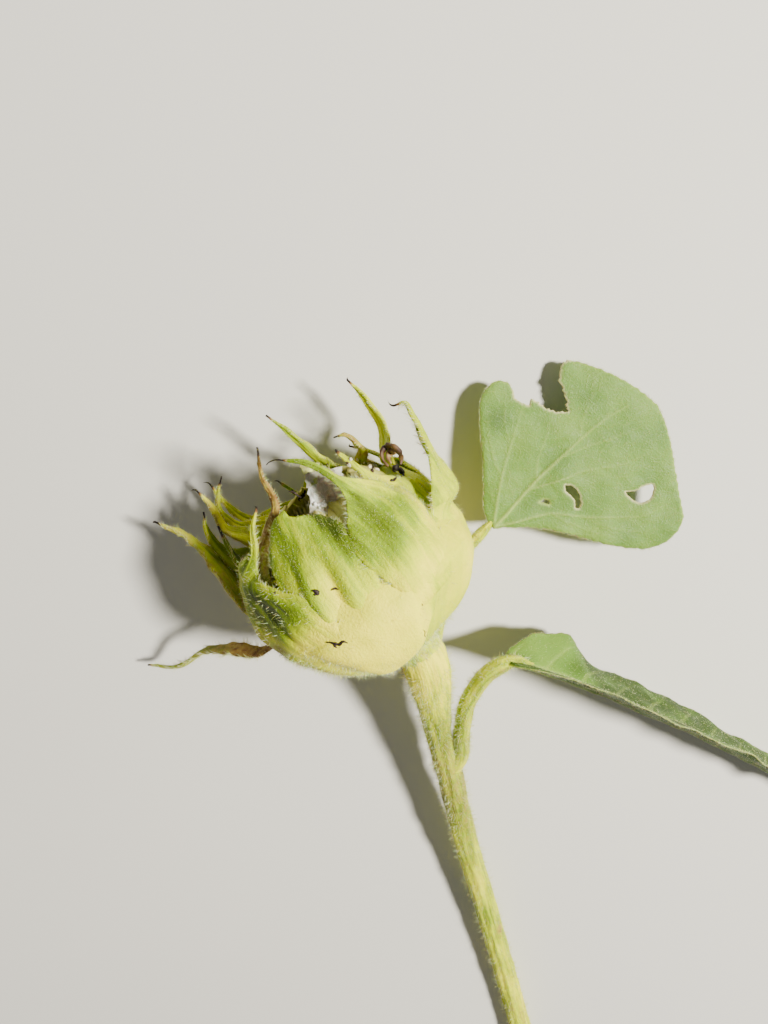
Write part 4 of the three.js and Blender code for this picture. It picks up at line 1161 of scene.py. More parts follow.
class SUNFLOWER_OT_mouth(bpy.types.Operator):
    """Draws the young florets and petals in the mouth of the head"""

    bl_idname = "sunflower.mouth"
    bl_label = "Mouth"

    def execute(self, context):
        rng = np.random.default_rng(SEEDS["mouth"])
        rim = float(head_radius(MOUTH_FLOOR)) - CORE_INSET
        florets = joined([self.floret(k, rim, rng) for k in range(FLORETS)])
        add_piece("mouth_florets", florets, plain_material("Young Florets", FLORET_SHADES, 0.5))
        petals = joined([self.petal(k, rim, rng) for k in range(PETALS)])
        add_piece("mouth_petals", petals, plain_material("Young Petals", PETAL_SHADES, 0.5))
        return {"FINISHED"}

    def floret(self, number, rim, rng):
        """One unopened floret, in its place on the spiral."""
        rows = len(FLORET_WIDTHS)
        off = (rim - 0.4) * np.sqrt((number + 0.5) / FLORETS)
        angle = number * FLORET_TURN
        foot = head_point(MOUTH_FLOOR + 0.1 - MOUTH_DISH * (1 - (off / rim) ** 2), off, angle)
        lean = head_point(0, 1, angle) - HEAD_CENTRE
        tall = 1.7 + 1.2 * (off / rim) ** 2 + rng.uniform(-0.2, 0.2)
        line = foot + np.linspace(-0.3, 1, rows)[:, None] * tall * unit(AXIS - lean * 0.35 * off / rim)
        wide = FLORET_WIDTHS * rng.uniform(0.85, 1.05)
        shade = np.linspace(0.1, 0.72, rows)[:, None] + rng.uniform(-0.12, 0.12)
        return tube(line, wide, 7, SIDE, {"tint": shade})[0]

    def petal(self, number, rim, rng):
        """One short petal, bent in over the florets."""
        angle = number * 360 / PETALS + rng.uniform(-3, 3)
        reach = rng.uniform(0.75, 1.05)
        way = ((-1.5, 0.5, 0), (1.6, 0.9, 0), (4 * reach, 3 * reach, 3),
               (5.2 * reach, 5.4 * reach, rng.uniform(-3, 8)))  # up from the floor, in from the rim, round
        run = Line([head_point(MOUTH_FLOOR + up, rim - inward, angle + turn) for up, inward, turn in way])
        t, x = np.linspace(0, 1, PETAL_ROWS), np.linspace(-1, 1, 9)
        middle = run.at(t)
        across, over = route_frames(middle, np.cross(AXIS, run.at(0.0) - HEAD_CENTRE))
        half = PETAL_HALF * np.sin(np.pi * (0.1 + 0.87 * t)) ** 0.7 * rng.uniform(0.85, 1.1)
        cup = 0.35 * x[None] ** 2 - 0.08 * np.cos(x[None] * 9)
        flat = middle[:, None] + across[:, None] * (x * half[:, None])[..., None]
        rises = [cup + side * 0.09 * (1.1 - x ** 4) for side in (1, -1)]
        rings = both_faces(*(flat + over[:, None] * rise[..., None] for rise in rises))
        shade = np.linspace(0.15, 0.85, PETAL_ROWS)[:, None] + rng.uniform(-0.1, 0.15)
        return loft(rings, {"tint": shade})


def stem_place():
    """Rows of the main stem: their centres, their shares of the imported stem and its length."""
    line = Line(STEM_LINE)
    neck = line.knot(STEM_NECK)
    share = np.concatenate([np.linspace(0, 1, 300) * neck, np.linspace(neck, 1, 18)[1:]])
    return line.at(share), share / neck, line.length * neck


# Small things caught on the head: threads as rows of points with their half width and tint, and lumps as
# points with their size and tint. Each is moved along the line of sight until it lies on what is there.
CAUGHT_STRANDS = [
    ([(3.9, 19.9, 26), (3.1, 21, 26), (2.9, 22.1, 26), (3.5, 23, 26), (4.6, 23.2, 26), (5.4, 22.4, 26),
      (5.9, 21.2, 26), (5.8, 20.2, 26)], 0.46, 0.42),
    ([(4.3, 20.4, 26), (3.9, 21.4, 26), (4.3, 22.3, 26), (5, 22.1, 26)], 0.5, 0.66),
    ([(4.6, 19.9, 26), (5.2, 19.5, 26), (5.9, 19.3, 26), (6.3, 18.4, 26)], 0.34, 0.03),
    ([(5.2, 18.2, 26), (4.7, 17.6, 26), (4.2, 17.5, 26)], 0.16, 0.05),
    ([(-11.2, 16.9, 29), (-10.4, 16.7, 29), (-9.9, 16.2, 29), (-9.4, 15.9, 29)], 0.15, 0.1),
    ([(-10.8, 17.3, 29), (-10.4, 16.7, 29)], 0.12, 0.1),
    ([(-9.6, 15.3, 29), (-9.8, 15.6, 29), (-9.4, 16.1, 29), (-8.9, 16.6, 29), (-8.8, 17.1, 29)], 0.17, 0.22),
    ([(-4.6, 4.7, 38), (-3.9, 5, 38), (-3.5, 4.8, 38)], 0.14, 0.2),
]
CAUGHT_LUMPS = [
    ((5.1, 19.6, 26), 0.62, 0.02), ((5.8, 19.1, 26), 0.5, 0.05), ((4.4, 17.6, 26), 0.26, 0.05),
    ((-9.3, 16.2, 29), 0.46, 0.06), ((1, 19.8, 26), 0.5, 0.95), ((1.7, 20.1, 26), 0.5, 1.0),
    ((2, 19.4, 26), 0.42, 0.85), ((1.4, 19.2, 26), 0.3, 0.25), ((1.5, 19.7, 26), 0.24, 0.2),
    ((0.9, 20.4, 26), 0.3, 0.95), ((-1.9, 21, 26), 0.3, 0.95), ((-2.1, 20.1, 26), 0.32, 0.9),
    ((-0.8, 21, 26), 0.24, 0.95), ((-2.4, 20.5, 26), 0.2, 0.3), ((0.2, 20.6, 26), 0.2, 0.9),
    ((-5.5, 20.3, 26), 0.2, 0.2),
]
# Marks on the skin of the head, as distances along its axis and angles, with their half width and tint
CAUGHT_MARKS = [
    ([(7.9, -8), (7.4, -6.4), (6.9, -6.8)], 0.3, 0.08), ([(7.1, -8.3), (7.3, -7.4)], 0.18, 0.2),
    ([(-0.2, -18), (-0.9, -15), (-1.5, -13), (-1.3, -10.5), (-1.9, -9)], 0.2, 0.1),
    ([(-1, -15.6), (-1.9, -15.4)], 0.14, 0.2),
    ([(-8, 24.6), (-8.7, 25), (-9.4, 24), (-10.1, 24.2)], 0.07, 0.1),
    ([(-3.8, 31), (-4.2, 30.6)], 0.09, 0.3), ([(9.6, -31), (9.9, -29)], 0.1, 0.2),
]
DRIED_SHADES = [(0, srgb("1a0f0a")), (0.4, srgb("3a2012")), (0.7, srgb("8a6a3c")), (1, srgb("e8e2cc"))]
# Silk in the mouth: the corners of its sheet, then those of a small pale flap beside it
SILK_CORNERS = [[-8.6, 19.6, 28.6], [-3.4, 20.1, 27.4], [-2, 13.4, 28.6], [-7.9, 13.2, 29.2]]
FLAP_CORNERS = [[-9.6, 20.6, 27.6], [-6.6, 20.9, 27.2], [-7, 17.8, 27.8], [-8.4, 17.4, 28]]
SHEET_ROWS = 46
SILK_GATHER = (34, 8)  # row and column at which the silk is drawn together
SILK_THREADS = 260
SILK_KNOTS = 12
SILK_SHADES = [(0, srgb("8f9070")), (0.45, srgb("d2cdbc")), (1, srgb("fffdf6"))]
FLAP_SHADES = [(0, srgb("8fa030")), (1, srgb("d8da86"))]


def settled(points, lift, slack=1.8):
    """Points moved along the line of sight onto what is already drawn, none far behind the nearest."""
    graph = bpy.context.evaluated_depsgraph_get()
    points = np.array(points, float)
    ways = unit(points - EYE)
    depths = np.linalg.norm(points - EYE, axis=1)
    for k, way in enumerate(ways):
        hit, place = bpy.context.scene.ray_cast(graph, (EYE + SHIFT) * MM, way)[:2]
        if hit:
            depths[k] = np.linalg.norm(np.array(place) / MM - SHIFT - EYE)
    depths = np.minimum(depths, depths.min() + slack) - lift
    return EYE + ways * depths[:, None]


def lump(centre, size, tint, seed):
    """A small crumb with a rough skin."""
    turn, rise = round_turn(16), np.linspace(-1.45, 1.45, 11)[:, None]
    ways = as_grid(np.cos(rise) * np.cos(turn), np.cos(rise) * np.sin(turn), np.sin(rise))
    reach = size * (1 + 0.3 * relief(ways, 1.0, seed) + 0.12 * relief(ways, 0.35, seed + 1))
    shade = np.clip(tint + 0.12 * relief(ways, 0.6, seed + 2), 0, 1)
    return loft(centre + ways * reach[..., None] * [1, 1, 0.75], {"tint": shade})


def strand(points, wide, tint, seed):
    """A thin twisted thread through points."""
    line = Line(points)
    t = np.linspace(0, 1, max(12, int(line.length / 0.08)))
    rows, turn = t[:, None], round_turn(8)[None]
    rough = 0.16 * relief(rows * 9, 1, seed)[:, None]
    taper = wide * np.sin(np.pi * np.clip(rows * 0.9 + 0.07, 0, 1)) ** 0.5
    shade = np.clip(tint + 0.15 * relief(rows * 7, 1.5, seed + 1), 0, 1)[:, None]
    half = taper * (1 + 0.3 * np.cos(2 * turn + rows * 5) + rough)
    return tube(line.at(t), half, turn.size, (0.2, 0.3, 1), {"tint": shade})[0]


def sheet(corners, sag, seed, tints):
    """A thin rumpled sheet between four corners, the grid of its upper face and the way that looks."""
    a, b, c, d = (np.array(corner) for corner in corners)
    u, v = np.meshgrid(*[np.linspace(0, 1, SHEET_ROWS)] * 2, indexing="ij")
    edge = 0.035 * relief(np.stack([u, v], -1) * 9, 1.2, seed)
    flat = mix(mix(a, b, (v + edge)[..., None]), mix(d, c, (v + edge)[..., None]), (u - edge)[..., None])
    over = unit(np.cross(b - a, d - a))
    over = over * np.sign(over[2])
    place = flat[..., :2]
    rise = 0.28 * relief(place, 2.2, seed + 1) + 0.1 * relief(place, 0.8, seed + 2) - sag * 4 * u * (1 - u)
    top = flat + rise[..., None] * over
    low = top - over * (0.12 * np.sin(np.pi * v) ** 0.4)[..., None]
    pale = smooth(0.5 + 0.5 * relief(place, 1.7, seed + 3), 0.3, 0.9) * smooth(u, 0, 0.4)
    tint = mix(tints[0], tints[1], pale)
    return loft(both_faces(top, low), {"tint": both_faces(tint, tint)}), top, over


class SUNFLOWER_OT_caught(bpy.types.Operator):
    """Adds the silk in the mouth and the dried bits caught on the head"""

    bl_idname = "sunflower.caught"
    bl_label = "Silk and Dried Bits"

    def execute(self, context):
        rng = np.random.default_rng(SEEDS["caught"])
        body, top, over = sheet(SILK_CORNERS, 0.5, 92, (0.3, 0.85))
        rows = rng.integers(0, SHEET_ROWS, SILK_THREADS)
        roots = top[rows, rng.integers(0, SHEET_ROWS, SILK_THREADS)]
        gather = top[SILK_GATHER]
        ways = unit(gather - roots + rng.normal(0, 2.2, roots.shape))
        ways = unit(ways + over * rng.uniform(0, 0.35, (SILK_THREADS, 1)))
        lengths = rng.uniform(0.8, 3.2, SILK_THREADS)
        bend = rng.normal(0, 0.2, roots.shape)
        threads = hairs(roots, ways, lengths, np.full(SILK_THREADS, 0.02), bend, rng)
        knots = [lump(gather + rng.normal(0, 0.55, 3) * [1.3, 1, 0.4] + over * 0.15, rng.uniform(0.16, 0.4),
                      rng.uniform(0.8, 1), 200 + 3 * k) for k in range(SILK_KNOTS)]
        silk = plain_material("Silk", SILK_SHADES, 0.55, Subsurface_Weight=0.15, Subsurface_Scale=0.5 * MM)
        add_piece("mouth_silk", joined([body, threads] + knots), silk)
        flap = sheet(FLAP_CORNERS, -0.2, 96, (0.5, 1.0))[0]
        add_piece("mouth_flap", flap, plain_material("Pale Flap", FLAP_SHADES, 0.5))
        parts = []
        for k, (points, wide, tint) in enumerate(CAUGHT_STRANDS):
            parts.append(strand(settled(points, 0.8 * wide), wide, tint, 300 + 3 * k))
        for k, (point, size, tint) in enumerate(CAUGHT_LUMPS):
            parts.append(lump(settled([point], 0.4 * size)[0], size, tint, 400 + 3 * k))
        for k, (places, wide, tint) in enumerate(CAUGHT_MARKS):
            along, angle = np.array(places, float).T
            points = head_point(along, head_radius(along) - 1, angle)
            parts.append(strand(settled(points, 0.5 * wide), wide, tint, 500 + 3 * k))
        dried = plain_material("Dried Bits", DRIED_SHADES, 0.6)
        add_piece("head_dried_bits", joined(parts), dried)
        return {"FINISHED"}


STEM_SIDES = 72
STEM_RIBS = 9
STEM_LONG_HAIRS = 3600
STEM_SHORT_HAIRS = 5000
STALK_SIDES = 48
STALK_HAIRS = 26  # long hairs to each millimetre of a stalk
SHORT_HAIR = 0.35  # length of the short hairs as a share of the long ones
CUT_RADIUS = 2.45
CUT_STRANDS = 26
# The leaf stalks: line, half width by the share along, tint, dryness and length of the long hairs
STALKS = {
    "broad_leaf_stalk": (
        BROAD_STALK, lambda q: 1.05 + 0.4 * smooth(-q, -0.1, 0) - 0.6 * smooth(q, 0.88, 1.0), 0.34, 0, 0.8),
    "folded_leaf_stalk": (
        FOLDED_STALK, lambda q: 1.6 + 0.5 * smooth(-q, -0.32, 0) - 1.25 * smooth(q, 0.8, 1.0),
        0.55, 0.15, 1.0),
}
PITH_SHADES = [(0, srgb("8c8a44")), (0.5, srgb("cfcf98")), (1, srgb("efedd2"))]


class SUNFLOWER_OT_stem(bpy.types.Operator):
    """Draws the main stem and the two leaf stalks with their stiff hairs"""

    bl_idname = "sunflower.stem"
    bl_label = "Stem and Stalks"

    def execute(self, context):
        settings = context.scene.sunflower_stem
        flesh = flesh_material("Ribbed Stem", mottle=(2.2, 0.3, 0.26), streaks=(1.1, 0.07, 0.34),
                               down=(1.7, 0.22, 0.3), bump=(0.9, 1.6, 0.4))
        rng = np.random.default_rng(SEEDS["stem"])
        centres, share, length = stem_place()
        t, turn = share[:, None], round_turn(STEM_SIDES)[None]
        radius = settings.radius / MM + 1.6 * smooth(t, 0.82, 1)
        ribs = np.cos(turn * STEM_RIBS + 1.3 * relief(t * 6, 1.4, 31)[:, None]) * settings.rib_height / MM
        place = as_grid(2.5 * np.cos(turn), 2.5 * np.sin(turn), t * length * 0.4)
        wide = radius + ribs + 0.1 * relief(place, 1.6, 32) + 0.035 * relief(place, 0.5, 33)
        wide = wide + 0.35 * bell((t - 0.735) * length, 3.2) * (0.5 + 0.5 * np.cos(turn - 2.6))
        wide = wide - 0.8 * smooth(t, 1.0, 1.04)
        # the bell about three quarters of the way up makes a darker olive band: partly the stem's own olive,
        # partly painted shadow
        tint = 0.46 + 0.26 * bell(t - 0.74, 0.15) - 0.3 * smooth(t, 0.84, 1.0) - 0.1 * smooth(-t, -0.42, -0.1)
        tint = tint + 0.08 * relief(place, 3, 34)
        # its bell near 0.72 browns the same band, partly as painted shadow
        dry = 0.13 + 0.1 * bell(t - 0.72, 0.16) + 0.1 * smooth(relief(place, 2.2, 35), 0.9, 1.7)
        dry = dry + 0.12 * smooth(-t, -0.012, 0)
        dry = dry + 0.45 * bell((t - 0.33) * length, 1.5) * bell((turn - 0.9), 0.35)
        dry = dry * (1 - 0.75 * smooth(t, 0.86, 1.0))
        body, rings, out = tube(centres, wide, STEM_SIDES, (0, 0, 1), {"tint": tint, "dry": dry})
        add_piece("stem_ribbed", body, flesh, "stem")
        weight = mix(0.7, 1.6, smooth(t, 0.35, 0.8)) * (1 - smooth(t, 0.99, 1.0))
        size = settings.hair_length / MM
        parts = [fuzz(rings, out, weight, STEM_LONG_HAIRS, size, rng, 0.03, 0.1),
                 fuzz(rings, out, weight, STEM_SHORT_HAIRS, SHORT_HAIR * size, rng, 0.024, 0.3)]
        for name in STALKS:
            parts += self.stalk(name, flesh, rng)
        add_piece("stem_hairs", joined(parts), hair_material())
        self.cut_face(centres)
        return {"FINISHED"}

    def stalk(self, name, flesh, rng):
        """Adds one leaf stalk, grooved along the side that faces up the stem, and returns its hairs."""
        points, half, tint, dry, size = STALKS[name]
        line = Line(points)
        share = np.linspace(0, 1, max(60, int(line.length / 0.3)))
        q, turn = share[:, None], round_turn(STALK_SIDES)[None]
        place = as_grid(1.5 * np.cos(turn), 1.5 * np.sin(turn), q * line.length * 0.4)
        groove = 0.22 * bell(np.angle(np.exp(1j * (turn - 0.3))), 0.4) * smooth(q, 0.15, 0.4)
        wide = half(q) - groove + 0.03 * np.cos(turn * 7)
        wide = wide + 0.06 * relief(place, 1.4, 41) + 0.02 * relief(place, 0.4, 42)
        values = {"tint": tint + 0.1 * relief(place, 2.5, 43),
                  "dry": dry + 0.08 * smooth(relief(place, 2, 44), 0.8, 1.6)}
        body, rings, out = tube(line.at(share), wide, STALK_SIDES, (0.3, -0.5, 1), values)
        add_piece(name + "_grooved", body, flesh, name)
        weight = smooth(q, 0.1, 0.16) * (1 - smooth(q, 0.93, 0.98))
        count = int(line.length * STALK_HAIRS)
        return [fuzz(rings, out, weight, count, size, rng, 0.033, 0.1),
                fuzz(rings, out, weight, count * 2, SHORT_HAIR * size, rng, 0.027, 0.3)]

    def cut_face(self, centres):
        """The cut end of the stem: a ring of strands round a pale pith."""
        way = unit(centres[0] - centres[4])
        across = unit(np.cross(way, UP))
        over = np.cross(way, across)
        r, turn = np.linspace(0.02, 1, 34)[:, None], round_turn(96)[None]
        flat = as_grid(r * np.cos(turn) * CUT_RADIUS, r * np.sin(turn) * CUT_RADIUS)
        strands = np.cos(turn * CUT_STRANDS)
        height = 0.05 + 0.08 * relief(flat, 0.35, 51) * (1 - r ** 4) + 0.06 * bell(r - 0.78, 0.08) * strands
        height = height - 0.1 * bell(r - 0.6, 0.12)
        tint = 0.85 - 0.55 * bell(r - 0.78, 0.1) * (0.6 + 0.4 * strands) - 0.4 * smooth(r, 0.88, 1)
        top = centres[0] + flat[..., :1] * across + flat[..., 1:] * over + height[..., None] * way
        low = top[[-1, 0]] - way * 0.5
        body = loft(np.concatenate([top, low]), {"tint": np.concatenate([tint, tint[[-1, 0]]])})
        add_piece("stem_cut_face", body, plain_material("Pith", PITH_SHADES, 0.7))


BROAD_STEP = 0.34  # from one point inside the blade to the next
BROAD_DISH = (8.5, 4.2)  # where the blade is dished, and greener there as painted shade
BROAD_EDGE_HAIRS = 1500
BROAD_FACE_HAIRS = 7000


def bezier_outline():
    """The broad leaf's outline as points about a quarter of a millimetre apart."""
    at = np.array(BROAD_START, float)
    points = []
    for a, b, c in BROAD_CURVES:
        a, b, c = (np.array(p, float) for p in (a, b, c))
        size = np.linalg.norm(c - at)
        t = np.linspace(0, 1, max(3, int(size / 0.25)), endpoint=False)[:, None]
        points.append((1 - t) ** 3 * at + 3 * (1 - t) ** 2 * t * a + 3 * (1 - t) * t ** 2 * b + t ** 3 * c)
        at = c
    return np.vstack(points)


def outward(outline):
    """Directions square to a closed outline that runs round clockwise, out of it."""
    ahead = np.roll(outline, -1, 0) - np.roll(outline, 1, 0)
    return unit(as_grid(ahead[:, 1], -ahead[:, 0]))


def saw(turns):
    """Teeth that lean one way, from -0.5 to 0.5, one for each turn."""
    part = turns % 1
    return np.where(part < 0.7, part / 0.7, (1 - part) / 0.3) - 0.5


def toothed(outline, height, size, seed):
    """A closed outline with small teeth."""
    gone = np.cumsum(np.linalg.norm(np.diff(outline, axis=0, prepend=outline[:1]), axis=1))
    wander = relief(outline, size * 0.8, seed)
    return outline + outward(outline) * ((saw(gone / size) + 0.5 * wander) * height)[:, None]


def ragged(points, amount, sizes, seeds):
    """Points of the drawing moved about a little, as by chewing."""
    return points + amount * as_grid(*(relief(points, size, seed) for size, seed in zip(sizes, seeds)))


def drawn_line(points):
    """A smooth line through points of the drawing."""
    return Line(np.column_stack([points, np.zeros(len(points))]))


def inside_outline(points, outline):
    """Whether points are inside a closed outline."""
    x, y = points[:, 0], points[:, 1]
    inside = np.zeros(len(points), bool)
    for (xa, ya), (xb, yb) in zip(outline, np.roll(outline, -1, 0)):
        if ya == yb:
            continue
        cross = ((ya > y) != (yb > y)) & (x < (xb - xa) * (y - ya) / (yb - ya) + xa)
        inside ^= cross
    return inside


def off_edge(points, outline):
    """Distance of points from the points of an outline."""
    best = np.full(len(points), np.inf)
    for start in range(0, len(outline), 64):
        ends = outline[start:start + 64]
        best = np.minimum(best, np.linalg.norm(points[:, None] - ends[None], axis=-1).min(1))
    return best


def on_sheet(points, outline, holes):
    """Whether points are inside a sheet's outline and outside its holes."""
    kept = inside_outline(points, outline)
    for hole in holes:
        kept &= ~inside_outline(points, hole)
    return kept


def cut_sheet(outline, holes):
    """Flat sheet with holes, as points and triangles that are evenly spread inside its edges."""
    x, y = np.meshgrid(np.arange(-3, 37, BROAD_STEP), np.arange(-6, 30, BROAD_STEP * 0.87))
    x[::2] += BROAD_STEP / 2
    inner = as_grid(x.ravel(), y.ravel())
    edges = [outline] + holes
    every = np.vstack(edges)
    inner = inner[on_sheet(inner, outline, holes) & (off_edge(inner, every) > 0.16)]
    joins, start = [], 0
    for ring in edges:
        k = np.arange(len(ring))
        joins.append(as_grid(k, (k + 1) % len(ring)) + start)
        start += len(ring)
    result = delaunay_2d_cdt([tuple(p) for p in np.vstack([every, inner])],
                             [tuple(map(int, e)) for e in np.vstack(joins)], [], 0, 1e-5)
    flat = np.array([tuple(p) for p in result[0]])
    triangles = np.array([f for f in result[2] if len(f) == 3])
    triangles = triangles[on_sheet(flat[triangles].mean(1), outline, holes)]
    used, triangles = np.unique(triangles, return_inverse=True)
    return flat[used], triangles.reshape(-1, 3)


def broad_veins(flat):
    """Vein value and height of the veins at points of the broad leaf."""
    vein, ridge = np.zeros(len(flat)), np.zeros(len(flat))
    for line, width, height in BROAD_VEINS:
        off, share = off_polyline(flat, drawn_line(line).at(np.linspace(0, 1, 40))[:, :2])
        taper = mix(1, 0.35, share)
        ridge = np.maximum(ridge, height * taper * bell(off, width * 0.5 * taper + 0.05))
        strong = min(1, height * 2.3) * mix(1, 0.3, share)
        vein = np.maximum(vein, strong * bell(off, width * 0.46 * taper + 0.06))
    return vein, ridge


def laid(flat, height):
    """Points of the broad leaf's drawing laid in their place, at a height over its plane."""
    x, y = flat[:, 0], flat[:, 1]
    a, b = BROAD_TILTS
    y, z = y * np.cos(a) - height * np.sin(a), y * np.sin(a) + height * np.cos(a)
    x, z = x * np.cos(b) + z * np.sin(b), -x * np.sin(b) + z * np.cos(b)
    return as_grid(x, y, z) + BROAD_FOOT


class SUNFLOWER_OT_broad_leaf(bpy.types.Operator):
    """Draws the broad leaf, underside up, with its veins, chewed edge and holes"""

    bl_idname = "sunflower.broad_leaf"
    bl_label = "Broad Leaf"

    def execute(self, context):
        outline = toothed(bezier_outline(), 0.12, 1.5, 61)
        chewed = (outline[:, 0] > 3.4) & (outline[:, 0] < 13.6) & (outline[:, 1] > 19.5)
        outline = np.where(chewed[:, None], ragged(outline, 0.16, (0.5, 0.6), (62, 63)), outline)
        holes = []
        for k, corners in enumerate(BROAD_HOLES):
            ring = drawn_line([*corners, corners[0]])
            points = ring.at(np.linspace(0, 1, int(ring.length / 0.22), endpoint=False))[:, :2]
            holes.append(ragged(points, 0.07, (0.4, 0.5), (64 + k, 67 + k)))
        flat, triangles = cut_sheet(outline, holes)
        edge = off_edge(flat, np.vstack([outline] + holes))
        vein, ridge = broad_veins(flat)
        off_x, off_y = (flat - BROAD_DISH).T
        between = 0.14 * relief(flat, 5, 71) + 0.05 * relief(flat, 1.9, 72)
        dish = -0.5 * bell(np.hypot(off_x, off_y * 1.3), 3.2)
        cup = 0.6 * smooth(edge, 5, 0) * relief(flat, 11, 73)
        lie = between + dish + 0.5 * cup
        thick = 0.24 * smooth(edge, -0.1, 0.5) + 0.06
        surface = BROAD_LIFT + lie + thick + ridge
        under = BROAD_LIFT + lie - thick + ridge * 0.1 - 0.1 * vein
        # its bell round the dish makes the blade greener there: painted shade in that hollow
        tint = 0.52 + 0.1 * relief(flat, 6, 74) + 0.15 * bell(np.hypot(off_x, off_y), 2.8)
        tint = tint - 0.35 * smooth(edge, 0.35, 0)
        vein = np.maximum(vein, 0.55 * smooth(edge, 0.22, 0.0))
        vein = np.maximum(vein, 0.8 * smooth(off_edge(flat, holes[2]), 0.55, 0.1))
        dry = 0.75 * smooth(off_edge(flat, np.vstack([outline[chewed]] + holes[:2])), 0.4, 0.05)
        count = len(flat)
        sides = np.vstack([triangles[:, [0, 1]], triangles[:, [1, 2]], triangles[:, [2, 0]]])
        _, index, times = np.unique(np.sort(sides, axis=1), axis=0, return_index=True, return_counts=True)
        a, b = sides[index[times == 1]].T
        faces = [np.vstack([triangles, triangles[:, ::-1] + count]), as_grid(b, a, a + count, b + count)]
        values = {"tint": np.tile(tint, 2), "dry": np.tile(dry, 2), "vein": np.append(vein, vein * 0.5)}
        blade = leaf_material("Broad Leaf Blade", gloss=0.35, sheen=0.15, down=0.2, net_height=0.15)
        body = np.vstack([laid(flat, surface), laid(flat, under)]), faces, values
        add_piece("broad_leaf_blade", body, blade, "broad_leaf")
        rng = np.random.default_rng(SEEDS["broad_leaf"])
        out = outward(outline)
        if inside_outline(outline[:1] + out[:1] * 0.1, outline)[0]:
            out = -out
        pick = rng.choice(np.flatnonzero(~chewed), BROAD_EDGE_HAIRS)
        foot = laid(outline[pick], BROAD_LIFT)
        ways = laid(outline[pick] + out[pick], BROAD_LIFT + rng.normal(0.1, 0.4, len(pick))) - foot
        ways = unit(ways + rng.normal(0, 0.3, (len(pick), 3)))
        parts = [straight_hairs(foot, ways, 0.15, 0.45, 0.026, rng)]
        pick = rng.choice(len(flat), BROAD_FACE_HAIRS)
        ways = unit(rng.normal(0, 0.5, (len(pick), 3)) + [0.2, 0.2, 1])
        parts.append(straight_hairs(laid(flat[pick], surface[pick]), ways, 0.12, 0.34, 0.02, rng))
        add_piece("broad_leaf_hairs", joined(parts), hair_material())
        return {"FINISHED"}


FOLDED_ROWS = 300
FOLDED_COLUMNS = 61
FOLDED_HALF = 11.7  # half width of the folded leaf where it is widest
FOLDED_TOOTH = 2.1  # from one tooth of its margins to the next
FOLDED_VEIN_STEP = 8  # from one side vein to the next
FOLDED_FLAP = 32  # degrees that its upper half is bent further up near its foot
FOLDED_EDGE_HAIRS = 1500
FOLDED_FACE_HAIRS = 3200


